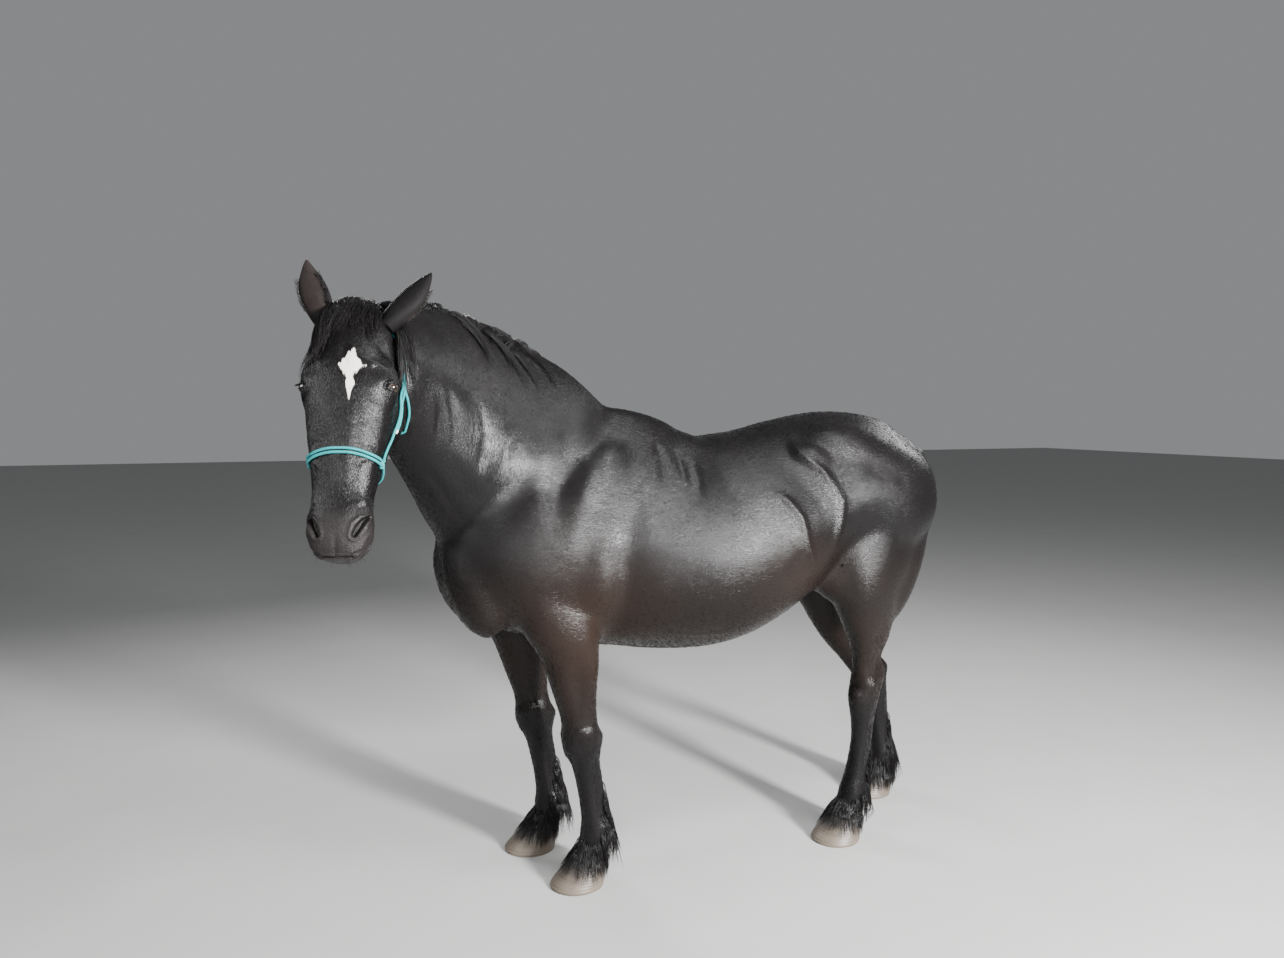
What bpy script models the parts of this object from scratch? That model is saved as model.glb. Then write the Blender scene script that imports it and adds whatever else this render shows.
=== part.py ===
"""A life-size percheron horse standing square-on with its head turned to its left, wearing a rope halter.

The horse faces -Y with its left side at +X and stands on z = 0.
The body is lofted from named rings, fused, smoothed and then parted with thin cuts.
"""

import math
import random

import bmesh
import bpy
from mathutils import Matrix, Vector
from mathutils.bvhtree import BVHTree

# Driving dimensions, in metres.
GAP = 0.0003
CORONET = 0.085
KNEE = 0.50
FETLOCK = 0.175
ELBOW = 0.93
STIFLE = 1.00
FUSE_VOXEL = 0.008
BODY_TRIANGLES = 2900
HEAD_TRIANGLES = 1000

# The trunk from the breast to the buttocks: y, top, bottom, half width, how far the top narrows, squareness.
TRUNK_RINGS = (
    (-1.050, 1.215, 1.010, 0.080, 0.0, 2.0),
    (-1.000, 1.330, 0.935, 0.190, 0.1, 2.1),
    (-0.900, 1.460, 0.865, 0.262, 0.3, 2.2),
    (-0.760, 1.575, 0.825, 0.292, 0.5, 2.2),
    (-0.600, 1.645, 0.810, 0.300, 0.62, 2.2),
    (-0.450, 1.652, 0.795, 0.318, 0.66, 2.2),
    (-0.270, 1.578, 0.772, 0.362, 0.50, 2.2),
    (-0.080, 1.560, 0.776, 0.388, 0.34, 2.15),
    (0.120, 1.590, 0.880, 0.386, 0.3, 2.1),
    (0.300, 1.625, 1.010, 0.356, 0.3, 2.0),
    (0.460, 1.640, 1.075, 0.345, 0.32, 2.2),
    (0.610, 1.612, 1.030, 0.335, 0.35, 2.2),
    (0.730, 1.550, 1.060, 0.295, 0.35, 2.2),
    (0.810, 1.470, 1.100, 0.215, 0.3, 2.1),
    (0.860, 1.365, 1.190, 0.105, 0.1, 2.0),
)

# The neck from inside the shoulders to the poll.
# Centre, half width, reach to the crest, reach to the throat.
NECK_RINGS = (
    ((0.000, -0.600, 1.290), 0.225, 0.350, 0.340),
    ((0.000, -0.750, 1.390), 0.215, 0.395, 0.380),
    ((0.020, -0.890, 1.490), 0.190, 0.410, 0.335),
    ((0.070, -1.010, 1.590), 0.162, 0.380, 0.280),
    ((0.145, -1.120, 1.680), 0.142, 0.325, 0.235),
    ((0.230, -1.210, 1.745), 0.128, 0.260, 0.200),
    ((0.305, -1.265, 1.785), 0.112, 0.190, 0.160),
    ((0.350, -1.290, 1.800), 0.070, 0.110, 0.080),
)

# The head from the poll down to the lips.
# Distance, half width, reach to the face, reach to the jaw, squareness.
HEAD_RINGS = (
    (-0.020, 0.035, 0.020, 0.040, 2.0),
    (0.020, 0.078, 0.056, 0.095, 2.1),
    (0.080, 0.100, 0.080, 0.150, 2.3),
    (0.160, 0.112, 0.094, 0.190, 2.5),
    (0.230, 0.118, 0.092, 0.210, 2.5),
    (0.310, 0.113, 0.082, 0.208, 2.5),
    (0.390, 0.101, 0.071, 0.172, 2.7),
    (0.470, 0.087, 0.060, 0.126, 2.7),
    (0.540, 0.079, 0.052, 0.100, 2.5),
    (0.615, 0.088, 0.052, 0.096, 2.2),
    (0.672, 0.080, 0.042, 0.088, 2.2),
    (0.713, 0.050, 0.016, 0.062, 2.0),
)
HEAD_SIZE = 1.03
POLL = Vector((0.361, -1.345, 1.920))
HEAD_TURN = math.radians(72)
NOSE_FORWARD = math.radians(21)
EYE = (0.020, -0.234)
EYE_RADIUS = 0.022
GAZE = (0.90, 0.42, 0.0)
ROPE = 0.0038
LOCK_ROOT = 0.012
LOCK_TAPER = (0.70, 0.95, 1.00, 0.92, 0.70, 0.20)
MANE_LOCKS = 15
FORELOCK_LOCKS = 7
TAIL_LOCKS = 10
# Long hair on the lower legs: height, how far round from the rear, locks, length, push outwards, width.
FEATHER_ROWS = (
    (0.310, 0.8, 2, 0.145, 0.42, 0.036),
    (0.240, 2.0, 4, 0.165, 0.62, 0.038),
    (0.165, 2.9, 5, 0.135, 0.60, 0.036),
    (0.125, 5.5, 6, 0.098, 0.48, 0.042),
)
# Each ear in head space: root, tip and the way its cup faces.
EARS = {
    "ear_left": ((0.082, -0.010, -0.040), (0.210, -0.010, 0.132), (0.60, -0.75, 0.25)),
    "ear_right": ((-0.080, 0.005, -0.040), (-0.132, 0.085, 0.118), (-0.25, 0.95, -0.20)),
}
# An ear from root to tip: share of the length, half width, reach to the cup's side, reach to the back.
EAR_RINGS = (
    (0.00, 0.026, 0.024, 0.028),
    (0.18, 0.036, 0.024, 0.032),
    (0.42, 0.043, 0.020, 0.030),
    (0.66, 0.036, 0.014, 0.024),
    (0.86, 0.018, 0.009, 0.014),
    (1.00, 0.003, 0.003, 0.003),
)

# Lower leg rings, from the hoof up: height, half width, reach forward, reach back.
FORE_RINGS = (
    (0.050, 0.064, 0.060, 0.058),
    (CORONET, 0.065, 0.060, 0.064),
    (0.130, 0.051, 0.044, 0.056),
    (FETLOCK, 0.052, 0.045, 0.066),
    (0.240, 0.042, 0.036, 0.056),
    (0.330, 0.039, 0.036, 0.056),
    (0.420, 0.045, 0.046, 0.056),
    (0.470, 0.060, 0.064, 0.066),
    (0.530, 0.065, 0.070, 0.066),
    (0.590, 0.058, 0.070, 0.060),
    (0.680, 0.066, 0.090, 0.066),
    (0.790, 0.083, 0.118, 0.080),
    (0.840, 0.090, 0.142, 0.084),
    (0.900, 0.096, 0.172, 0.090),
    (1.020, 0.100, 0.185, 0.125),
    (1.140, 0.085, 0.130, 0.140),
)
HIND_RINGS = (
    (0.050, 0.062, 0.060, 0.057),
    (CORONET, 0.064, 0.060, 0.063),
    (0.130, 0.050, 0.043, 0.054),
    (FETLOCK, 0.051, 0.044, 0.064),
    (0.250, 0.040, 0.037, 0.053),
    (0.360, 0.037, 0.037, 0.050),
    (0.450, 0.043, 0.044, 0.056),
    (0.530, 0.052, 0.064, 0.070),
    (0.600, 0.053, 0.058, 0.094),
    (0.640, 0.048, 0.056, 0.088),
    (0.700, 0.050, 0.064, 0.072),
    (0.790, 0.074, 0.094, 0.100),
    (0.900, 0.098, 0.135, 0.130),
    (1.010, 0.118, 0.175, 0.190),
    (1.130, 0.125, 0.200, 0.230),
    (1.250, 0.110, 0.190, 0.210),
)

# Colour, roughness and metallic of what each node's name starts with.
FINISHES = {
    "coat": ((0.012, 0.010, 0.009), 0.38, 0.0),
    "tail": ((0.010, 0.009, 0.008), 0.45, 0.0),
    "eye": ((0.020, 0.010, 0.006), 0.08, 0.0),
    "hoof": ((0.230, 0.200, 0.170), 0.60, 0.0),
    "halter": ((0.010, 0.330, 0.320), 0.65, 0.0),
}

# Where each leg's middle line passes: height, x, y, from the hoof up.
FRONT_LEFT = (
    (0.050, 0.165, -0.606),
    (CORONET, 0.165, -0.592),
    (FETLOCK, 0.165, -0.572),
    (KNEE, 0.165, -0.612),
    (ELBOW, 0.175, -0.645),
    (1.150, 0.160, -0.690),
)
FRONT_RIGHT = (
    (0.050, -0.160, -0.690),
    (CORONET, -0.160, -0.676),
    (FETLOCK, -0.160, -0.650),
    (KNEE, -0.165, -0.693),
    (ELBOW, -0.180, -0.735),
    (1.150, -0.160, -0.710),
)
HIND_LEFT = (
    (0.050, 0.165, 0.430),
    (CORONET, 0.165, 0.442),
    (FETLOCK, 0.165, 0.474),
    (0.360, 0.165, 0.510),
    (0.640, 0.165, 0.528),
    (0.820, 0.180, 0.530),
    (STIFLE, 0.195, 0.500),
    (1.250, 0.180, 0.540),
)
HIND_RIGHT = (
    (0.050, -0.160, 0.812),
    (CORONET, -0.160, 0.816),
    (FETLOCK, -0.160, 0.828),
    (0.370, -0.160, 0.800),
    (0.490, -0.163, 0.772),
    (0.560, -0.165, 0.728),
    (0.640, -0.168, 0.678),
    (0.730, -0.173, 0.632),
    (0.820, -0.180, 0.600),
    (STIFLE, -0.195, 0.555),
    (1.250, -0.180, 0.560),
)
# Each leg: its rings, how far its toe turns out in degrees, its middle line and how far its hock sinks.
LEGS = {
    "leg_front_left": (FORE_RINGS, 6, FRONT_LEFT, 0.0),
    "leg_front_right": (FORE_RINGS, -6, FRONT_RIGHT, 0.0),
    "leg_hind_left": (HIND_RINGS, 12, HIND_LEFT, 0.0),
    "leg_hind_right": (HIND_RINGS, -12, HIND_RIGHT, 0.08),
}
# A hoof from the ground up: height, half width, reach to the toe, reach to the heel, further forward by.
HOOF_RINGS = (
    (0.000, 0.087, 0.090, 0.096, 0.044),
    (0.012, 0.088, 0.091, 0.096, 0.042),
    (0.045, 0.079, 0.078, 0.083, 0.023),
    (CORONET - GAP, 0.067, 0.062, 0.067, 0.000),
)


def link(obj):
    bpy.context.scene.collection.objects.link(obj)
    return obj


def mesh_object(name, points, faces):
    mesh = bpy.data.meshes.new(name)
    mesh.from_pydata([tuple(p) for p in points], [], faces)
    return link(bpy.data.objects.new(name, mesh))


def signed_power(value, power):
    return math.copysign(abs(value) ** power, value)


def blend_rows(rows, place):
    """The row at a place counted in rows, on a smooth curve through all of them."""
    i = min(int(place), len(rows) - 2)
    t = place - i
    before, first, second, after = (rows[max(0, min(len(rows) - 1, k))] for k in (i - 1, i, i + 1, i + 2))
    return [
        0.5 * (2 * b + (c - a) * t + (2 * a - 5 * b + 4 * c - d) * t * t + (3 * b - a - 3 * c + d) * t ** 3)
        for a, b, c, d in zip(before, first, second, after)
    ]


def loft(name, rows, up, sides=36, steps=5, level=None):
    """A closed tube through rows of (x, y, z, half width, reach up, reach down, narrowing, squareness).

    Its rings stand square to its middle line, or to the level direction where one is given.
    """
    rings = [blend_rows(rows, k / steps) for k in range((len(rows) - 1) * steps + 1)]
    centres = [Vector(ring[:3]) for ring in rings]
    points, faces = [], []
    for k, ring in enumerate(rings):
        along = level or (centres[min(k + 1, len(rings) - 1)] - centres[max(k - 1, 0)]).normalized()
        high = (up - along * up.dot(along)).normalized()
        side = high.cross(along)
        width, above, below, narrowing, squareness = ring[3:]
        for j in range(sides):
            turn = 2 * math.pi * j / sides
            across = signed_power(math.cos(turn), 2 / squareness)
            rise = signed_power(math.sin(turn), 2 / squareness)
            across *= 1 - narrowing * max(0.0, rise) ** 1.5
            reach = above if rise > 0 else below
            points.append(centres[k] + side * across * width + high * rise * reach)
    for k in range(len(rings) - 1):
        for j in range(sides):
            a, b = k * sides + j, k * sides + (j + 1) % sides
            faces.append((a, b, b + sides, a + sides))
    faces.append(tuple(reversed(range(sides))))
    faces.append(tuple(range(len(points) - sides, len(points))))
    obj = mesh_object(name, points, faces)
    face_outwards(obj)
    return obj


def face_outwards(obj):
    shape = bmesh.new()
    shape.from_mesh(obj.data)
    bmesh.ops.recalc_face_normals(shape, faces=shape.faces)
    if shape.calc_volume(signed=True) < 0:
        bmesh.ops.reverse_faces(shape, faces=shape.faces)
    shape.to_mesh(obj.data)
    shape.free()


def muscle(name, start, end, across, thick, facing, bulge=1.0, detail=4):
    """An ellipsoid stretched from start to end, thick along facing and across the other way."""
    start, end, facing = Vector(start), Vector(end), Vector(facing)
    along = (end - start).normalized()
    out = (facing - along * facing.dot(along)).normalized()
    turn = Matrix((along.cross(out), along, out)).transposed().to_4x4()
    size = Matrix.Diagonal((across, (end - start).length / 2 * bulge, thick, 1))
    shape = bmesh.new()
    bmesh.ops.create_icosphere(shape, subdivisions=detail, radius=1.0)
    bmesh.ops.transform(shape, matrix=Matrix.Translation((start + end) / 2) @ turn @ size, verts=shape.verts)
    mesh = bpy.data.meshes.new(name)
    shape.to_mesh(mesh)
    shape.free()
    return link(bpy.data.objects.new(name, mesh))


def head_matrix():
    """Head space to the horse's: x to the head's left, y out of the face, z up from the lips to the poll."""
    forward = Vector((math.sin(HEAD_TURN), -math.cos(HEAD_TURN), 0))
    up = Vector((0, 0, 1))
    face = forward * math.cos(NOSE_FORWARD) + up * math.sin(NOSE_FORWARD)
    top = up * math.cos(NOSE_FORWARD) - forward * math.sin(NOSE_FORWARD)
    left = up.cross(forward)
    turn = Matrix((left, face, top)).transposed().to_4x4()
    return Matrix.Translation(POLL) @ turn @ Matrix.Scale(HEAD_SIZE, 4)


def trunk():
    rows = []
    for y, top, bottom, width, narrowing, squareness in TRUNK_RINGS:
        middle = bottom + 0.46 * (top - bottom)
        rows.append((0, y, middle, width, top - middle, middle - bottom, narrowing, squareness))
    return loft("trunk", rows, Vector((0, 0, 1)), sides=48)


def neck():
    rows = [(*centre, width, above, below, 0.45, 2.0) for centre, width, above, below in NECK_RINGS]
    return loft("neck", rows, Vector((0, 0, 1)), sides=48)


def head():
    rows = [(0, 0, -far, width, face, jaw, 0.0, square) for far, width, face, jaw, square in HEAD_RINGS]
    obj = loft("head", rows, Vector((0, 1, 0)), sides=48)
    obj.data.transform(head_matrix())
    return obj


def at_height(places, height):
    """x and y of a leg's middle line at a height."""
    for (low, *a), (high, *b) in zip(places, places[1:]):
        if height <= high:
            break
    t = max(0.0, min(1.0, (height - low) / (high - low)))
    return [p + (q - p) * t for p, q in zip(a, b)]


def leg(name):
    rings, toe_out, places, drop = LEGS[name]
    rows = []
    for height, width, front, back in rings:
        z = height - drop * math.sin(math.pi * min(1.0, max(0.0, (height - 0.20) / 0.80)))
        rows.append((*at_height(places, z), z, width, front, back, 0.0, 2.0))
    turn = math.radians(toe_out)
    return loft(name, rows, Vector((math.sin(turn), -math.cos(turn), 0)), sides=32)


def both_sides(name, start, end, across, thick, facing, bulge=1.0):
    """The same muscle on the horse's left, where x is positive, and on its right."""
    made = []
    for side in (1, -1):
        flip = Vector((side, 1, 1))
        ends = Vector(start) * flip, Vector(end) * flip
        made.append(muscle(name, *ends, across, thick, Vector(facing) * flip, bulge))
    return made


def body_muscles():
    top, point = (0.12, -0.46, 1.50), (0.215, -0.86, 1.04)
    made = both_sides("shoulder", top, point, 0.15, 0.105, (1, -0.3, 0.2), 1.1)
    made += both_sides("triceps", (0.215, -0.52, 1.30), (0.225, -0.60, 0.94), 0.155, 0.085, (1, 0, 0))
    made += both_sides("breast", (0.090, -1.03, 1.22), (0.140, -0.91, 0.88), 0.105, 0.090, (0.3, -1, 0))
    made += both_sides("arm", (0.165, -0.90, 1.20), (0.195, -0.66, 0.86), 0.090, 0.085, (1, -0.5, 0))
    made += both_sides("hip", (0.20, 0.18, 1.50), (0.25, 0.34, 1.38), 0.070, 0.060, (1, -0.2, 0.6))
    made += both_sides("croup", (0.12, 0.20, 1.52), (0.20, 0.80, 1.36), 0.170, 0.130, (0.8, 0, 1))
    made += both_sides("flank", (0.245, 0.30, 1.38), (0.230, 0.35, 1.04), 0.066, 0.060, (1, 0, 0))
    return made


def thigh(name, side, rear):
    """The big muscles above one hind leg, whose hock stands further back by rear."""
    hip, stifle = (side * 0.170, 0.66, 1.48), (side * 0.215, 0.42 + rear * 0.3, 0.98)
    seat, gaskin = (side * 0.120, 0.775, 1.36), (side * 0.165, 0.60 + rear * 0.6, 0.82)
    flank, knee = (side * 0.205, 0.36 + rear * 0.2, 1.12), (side * 0.200, 0.40 + rear * 0.4, 0.92)
    return [
        muscle(name, hip, stifle, 0.170, 0.120, (side, 0, 0), 1.1),
        muscle(name, seat, gaskin, 0.100, 0.100, (side, 0.4, 0), 1.05),
        muscle(name, flank, knee, 0.100, 0.080, (side, -0.3, 0)),
    ]


def head_shapes():
    """The forms that stand out of the head, in head space, on both sides."""
    rows = (
        ("cheek", (0.084, -0.095, -0.200), (0.076, -0.115, -0.350), 0.105, 0.038, (1, 0, 0), 1.25),
        ("orbit", (0.104, 0.036, -0.165), (0.099, 0.014, -0.300), 0.050, 0.028, (1, 0.4, 0), 1.1),
        ("brow", (0.060, 0.066, -0.130), (0.104, 0.044, -0.215), 0.036, 0.016, (0.6, 1, 0), 1.1),
        ("cheekbone", (0.096, 0.006, -0.250), (0.074, -0.004, -0.420), 0.018, 0.016, (1, 0, 0), 1.1),
        ("nostril", (0.050, 0.020, -0.590), (0.062, 0.000, -0.668), 0.034, 0.028, (1, 0.5, 0), 1.15),
        ("chin", (0.018, -0.078, -0.645), (0.018, -0.070, -0.700), 0.034, 0.026, (0, -1, 0), 1.1),
    )
    made = []
    for row in rows:
        made += both_sides(*row)
    for obj in made:
        obj.data.transform(head_matrix())
    return made


def joined(name, objects):
    """One object that holds the meshes of all of these, which are removed."""
    shape = bmesh.new()
    for obj in objects:
        shape.from_mesh(obj.data)
        bpy.data.objects.remove(obj)
    mesh = bpy.data.meshes.new(name)
    shape.to_mesh(mesh)
    shape.free()
    return link(bpy.data.objects.new(name, mesh))


def apply_modifiers(obj):
    """Replaces the object's mesh by the one that its modifiers make."""
    graph = bpy.context.evaluated_depsgraph_get()
    made = bpy.data.meshes.new_from_object(obj.evaluated_get(graph))
    obj.modifiers.clear()
    obj.data = made
    return obj


def fused(obj, voxel):
    remesh = obj.modifiers.new("fuse", "REMESH")
    remesh.mode = "VOXEL"
    remesh.voxel_size = voxel
    return apply_modifiers(obj)


def smoothed(obj, rounds, share):
    """Smooths the surface, by the share from 0 to 1 that the function gives for a point."""
    group = obj.vertex_groups.new(name="softness")
    for vertex in obj.data.vertices:
        group.add([vertex.index], share(vertex.co), "REPLACE")
    smooth = obj.modifiers.new("soften", "SMOOTH")
    smooth.factor = 0.5
    smooth.iterations = rounds
    smooth.vertex_group = group.name
    apply_modifiers(obj)
    obj.vertex_groups.clear()
    return obj


def body_softness(point):
    """The legs and the head keep their form, the trunk is blended most, and so is the poll into the neck."""
    to_head = (point - head_matrix() @ Vector((0, -0.02, -0.34))).length
    to_join = (point - head_matrix() @ Vector((0, -0.17, -0.09))).length
    legs = min(1.0, max(0.10, (point.z - 0.58) / 0.40))
    head = min(1.0, max(0.12, (to_head - 0.36) / 0.25))
    join = max(0.0, 0.6 - to_join / 0.22)
    return min(legs, max(head, join))


def near_head(point):
    return (point - head_matrix() @ Vector((0, -0.02, -0.34))).length < 0.42


def thinned(obj, triangles, wanted):
    """Thins the region where the function is true down to about this many triangles."""
    group = obj.vertex_groups.new(name="thin")
    for vertex in obj.data.vertices:
        group.add([vertex.index], 1.0 if wanted(vertex.co) else 0.0, "REPLACE")
    sides = [(wanted(face.center), len(face.vertices) - 2) for face in obj.data.polygons]
    kept = sum(count for inside, count in sides if not inside)
    thin = obj.modifiers.new("thin", "DECIMATE")
    thin.ratio = (kept + triangles) / sum(count for inside, count in sides)
    thin.vertex_group = group.name
    thin.vertex_group_factor = 1.0
    apply_modifiers(obj)
    obj.vertex_groups.clear()
    return obj


def boolean(obj, other, operation, solver="EXACT"):
    """Combines the object with the other one, which stays."""
    cut = obj.modifiers.new("cut", "BOOLEAN")
    cut.object = other
    cut.operation = operation
    cut.solver = solver
    apply_modifiers(obj)
    return obj


def cut_away(obj, cutters, solver="EXACT"):
    """Takes each cutter out of the object and removes the cutters."""
    for cutter in cutters:
        boolean(obj, cutter, "DIFFERENCE", solver)
        bpy.data.objects.remove(cutter)
    return obj


def inflated(obj, by):
    """A copy of the object whose surface stands out by this much."""
    shape = bmesh.new()
    shape.from_mesh(obj.data)
    shape.normal_update()
    moves = [vertex.normal * by * min(2.0, vertex.calc_shell_factor()) for vertex in shape.verts]
    for vertex, move in zip(shape.verts, moves):
        vertex.co += move
    mesh = bpy.data.meshes.new(obj.name + "_room")
    shape.to_mesh(mesh)
    shape.free()
    return link(bpy.data.objects.new(obj.name + "_room", mesh))


def seat(piece, *neighbours):
    """Trims the piece so that it lies face to face with its neighbours, a gap away."""
    return cut_away(piece, [inflated(neighbour, GAP) for neighbour in neighbours], "MANIFOLD")


def pieces_of(obj):
    """The separate closed surfaces of an object as objects of their own, largest first; the object goes."""
    shape = bmesh.new()
    shape.from_mesh(obj.data)
    shape.faces.ensure_lookup_table()
    seen = set()
    made = []
    for first in shape.faces:
        if first.index in seen:
            continue
        seen.add(first.index)
        island = [first]
        for face in island:
            for edge in face.edges:
                for other in edge.link_faces:
                    if other.index not in seen:
                        seen.add(other.index)
                        island.append(other)
        number = {}
        corners = [[number.setdefault(v.index, len(number)) for v in face.verts] for face in island]
        shape.verts.ensure_lookup_table()
        made.append(mesh_object(obj.name, [shape.verts[index].co for index in number], corners))
    shape.free()
    bpy.data.objects.remove(obj)
    return sorted(made, key=volume, reverse=True)


def volume(obj):
    shape = bmesh.new()
    shape.from_mesh(obj.data)
    size = shape.calc_volume()
    shape.free()
    return size


def largest(obj):
    """Keeps the object's largest closed surface under the object's own name."""
    name = obj.name
    kept, *rest = pieces_of(obj)
    for other in rest:
        bpy.data.objects.remove(other)
    kept.name = name
    return kept


def box(name, centre, size, turn=None):
    shape = bmesh.new()
    bmesh.ops.create_cube(shape, size=1.0)
    place = Matrix.Translation(Vector(centre)) @ (turn or Matrix()) @ Matrix.Diagonal((*size, 1))
    bmesh.ops.transform(shape, matrix=place, verts=shape.verts)
    mesh = bpy.data.meshes.new(name)
    shape.to_mesh(mesh)
    shape.free()
    return link(bpy.data.objects.new(name, mesh))


def slab(centre, normal, width, length):
    """A sheet as thick as the gap, square to the normal, its length along the horse."""
    normal = Vector(normal).normalized()
    side = Vector((0, -1, 0)).cross(normal).normalized()
    turn = Matrix((side, normal.cross(side), normal)).transposed().to_4x4()
    return box("cut", centre, (width, length, GAP), turn)


def part_cuts():
    """The thin cuts that part the fused body into its nodes."""
    to_head = head_matrix()
    behind_jaw = to_head @ Vector((0, -0.150, -0.085))
    across = to_head.to_3x3() @ Vector((0, -0.844, 0.537))
    cuts = [slab(behind_jaw, across, 0.70, 0.62)]
    cuts.append(slab((0, -0.820, 1.450), (-0.04, -0.74, 0.67), 0.80, 1.10))
    for side in (1, -1):
        cuts.append(slab((side * 0.185, -0.680, 0.842), (-side * 0.39, 0, 0.92), 0.24, 0.42))
    cuts.append(slab((0.190, 0.515, 0.885), (0, 0, 1), 0.28, 0.43))
    cuts.append(slab((-0.190, 0.670, 0.885), (0, 0, 1), 0.28, 0.56))
    return cuts


def hoof(name):
    _, toe_out, places, _ = LEGS[name]
    turn = math.radians(toe_out)
    forward = Vector((math.sin(turn), -math.cos(turn), 0))
    x, y = at_height(places, CORONET)
    rows = []
    for z, width, toe, heel, shift in HOOF_RINGS:
        centre = Vector((x, y, z)) + forward * shift
        rows.append((*centre, width, toe, heel, 0.0, 2.0))
    return loft(name.replace("leg", "hoof"), rows, forward, sides=20, steps=1, level=Vector((0, 0, 1)))


def ear(name):
    """One ear with its cup, its tip bent a little inwards."""
    root, tip, facing = (Vector(value) for value in EARS[name])
    inwards = Vector((-root.x, 0, 0)).normalized()
    along = tip - root
    facing = (facing - along.normalized() * facing.dot(along.normalized())).normalized()
    shell, hollow = [], []
    for share, width, front, back in EAR_RINGS:
        centre = root + along * share + inwards * 0.018 * (share ** 3 - 0.5 * share)
        shell.append((*centre, width, front, back, 0.0, 2.0))
        if 0.1 < share < 0.95:
            within = centre + facing * front * 0.9
            hollow.append((*within, width * 0.80, 0.03, back * 0.75 + front * 0.9, 0.0, 2.0))
    top = root + along * 0.965 + inwards * 0.012
    hollow.append((*(top + facing * 0.006), 0.003, 0.02, 0.004, 0.0, 2.0))
    obj = loft(name, shell, facing, sides=14, steps=1)
    cup = loft(name + "_cup", hollow, facing, sides=12, steps=1)
    for made in (obj, cup):
        made.data.transform(head_matrix())
    return cut_away(obj, [cup])


def ball(name, centre, radius, segments, rings):
    shape = bmesh.new()
    bmesh.ops.create_uvsphere(shape, u_segments=segments, v_segments=rings, radius=radius)
    bmesh.ops.translate(shape, vec=Vector(centre), verts=shape.verts)
    mesh = bpy.data.meshes.new(name)
    shape.to_mesh(mesh)
    shape.free()
    return link(bpy.data.objects.new(name, mesh))


def tail():
    """The short tail, which hangs a little to the horse's right."""
    rows = (
        (0.000, 0.800, 1.480, 0.040, 0.035, 0.035, 0.0, 2.0),
        (-0.004, 0.865, 1.455, 0.042, 0.036, 0.036, 0.0, 2.0),
        (-0.014, 0.886, 1.370, 0.048, 0.034, 0.040, 0.0, 2.0),
        (-0.032, 0.880, 1.240, 0.060, 0.034, 0.046, 0.0, 2.0),
        (-0.046, 0.858, 1.100, 0.062, 0.032, 0.048, 0.0, 2.0),
        (-0.055, 0.824, 0.980, 0.046, 0.024, 0.040, 0.0, 2.0),
        (-0.058, 0.796, 0.905, 0.014, 0.008, 0.012, 0.0, 2.0),
    )
    return loft("tail", rows, Vector((0, 1, 0)), sides=12, steps=2)


def surface_tree(*objects):
    """A searchable copy of the surfaces of these objects."""
    shape = bmesh.new()
    for obj in objects:
        shape.from_mesh(obj.data)
    tree = BVHTree.FromBMesh(shape)
    shape.free()
    return tree


def strand(name, path, widths, thicks, sides=6):
    """A closed strand along (point, normal) rows, wide along the surface and thick along the normal."""
    points, faces = [], []
    for k, (point, normal) in enumerate(path):
        along = (path[min(k + 1, len(path) - 1)][0] - path[max(k - 1, 0)][0]).normalized()
        across = along.cross(normal).normalized()
        rise = across.cross(along).normalized()
        for j in range(sides):
            turn = 2 * math.pi * (j + 0.5) / sides
            points.append(point + across * math.cos(turn) * widths[k] + rise * math.sin(turn) * thicks[k])
    for k in range(len(path) - 1):
        for j in range(sides):
            a, b = k * sides + j, k * sides + (j + 1) % sides
            faces.append((a, b, b + sides, a + sides))
    faces.append(tuple(reversed(range(sides))))
    faces.append(tuple(range(len(points) - sides, len(points))))
    obj = mesh_object(name, points, faces)
    face_outwards(obj)
    return obj


def laid(tree, corners, lift, step=0.027):
    """A path of (point, normal) rows through corners in head space, lifted off the surface it lies on."""
    rows = [tuple(corner) for corner in corners]
    fine = [Vector(blend_rows(rows, k / 24)) for k in range((len(rows) - 1) * 24 + 1)]
    path, last = [], None
    for point in fine:
        spot, normal, _, _ = tree.find_nearest(head_matrix() @ point)
        place = spot + normal * lift
        if last is None or (place - last).length >= step:
            path.append((place, normal))
            last = place
    return path


def girth(tree, first, last, count):
    """Points in head space round the poll behind the ears, by turns from the left cheek to the right one."""
    place, back = head_matrix(), head_matrix().inverted()
    corners = []
    for k in range(count):
        turn = math.pi * (first + (last - first) * k / (count - 1))
        way = Vector((math.cos(turn), -0.537 * math.sin(turn), -0.844 * math.sin(turn)))
        middle = Vector((0, -0.085, -0.105))
        start = place @ (middle + way * 0.5)
        hit = tree.ray_cast(start, (place @ middle - start).normalized())[0]
        corners.append(tuple(back @ hit))
    return corners


def rope(name, tree, corners, lift=ROPE * 1.5):
    path = laid(tree, corners, lift)
    return strand(name, path, [ROPE] * len(path), [ROPE] * len(path), sides=5)


def knot(name, tree, corner, size=0.010):
    spot, normal, _, _ = tree.find_nearest(head_matrix() @ Vector(corner))
    return ball(name, spot + normal * size * 0.5, size, segments=7, rings=5)


def united(name, objects):
    """One closed surface out of overlapping ones."""
    first, *rest = objects
    for other in rest:
        boolean(first, other, "UNION", "MANIFOLD")
        bpy.data.objects.remove(other)
    first.name = name
    return first


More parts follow.
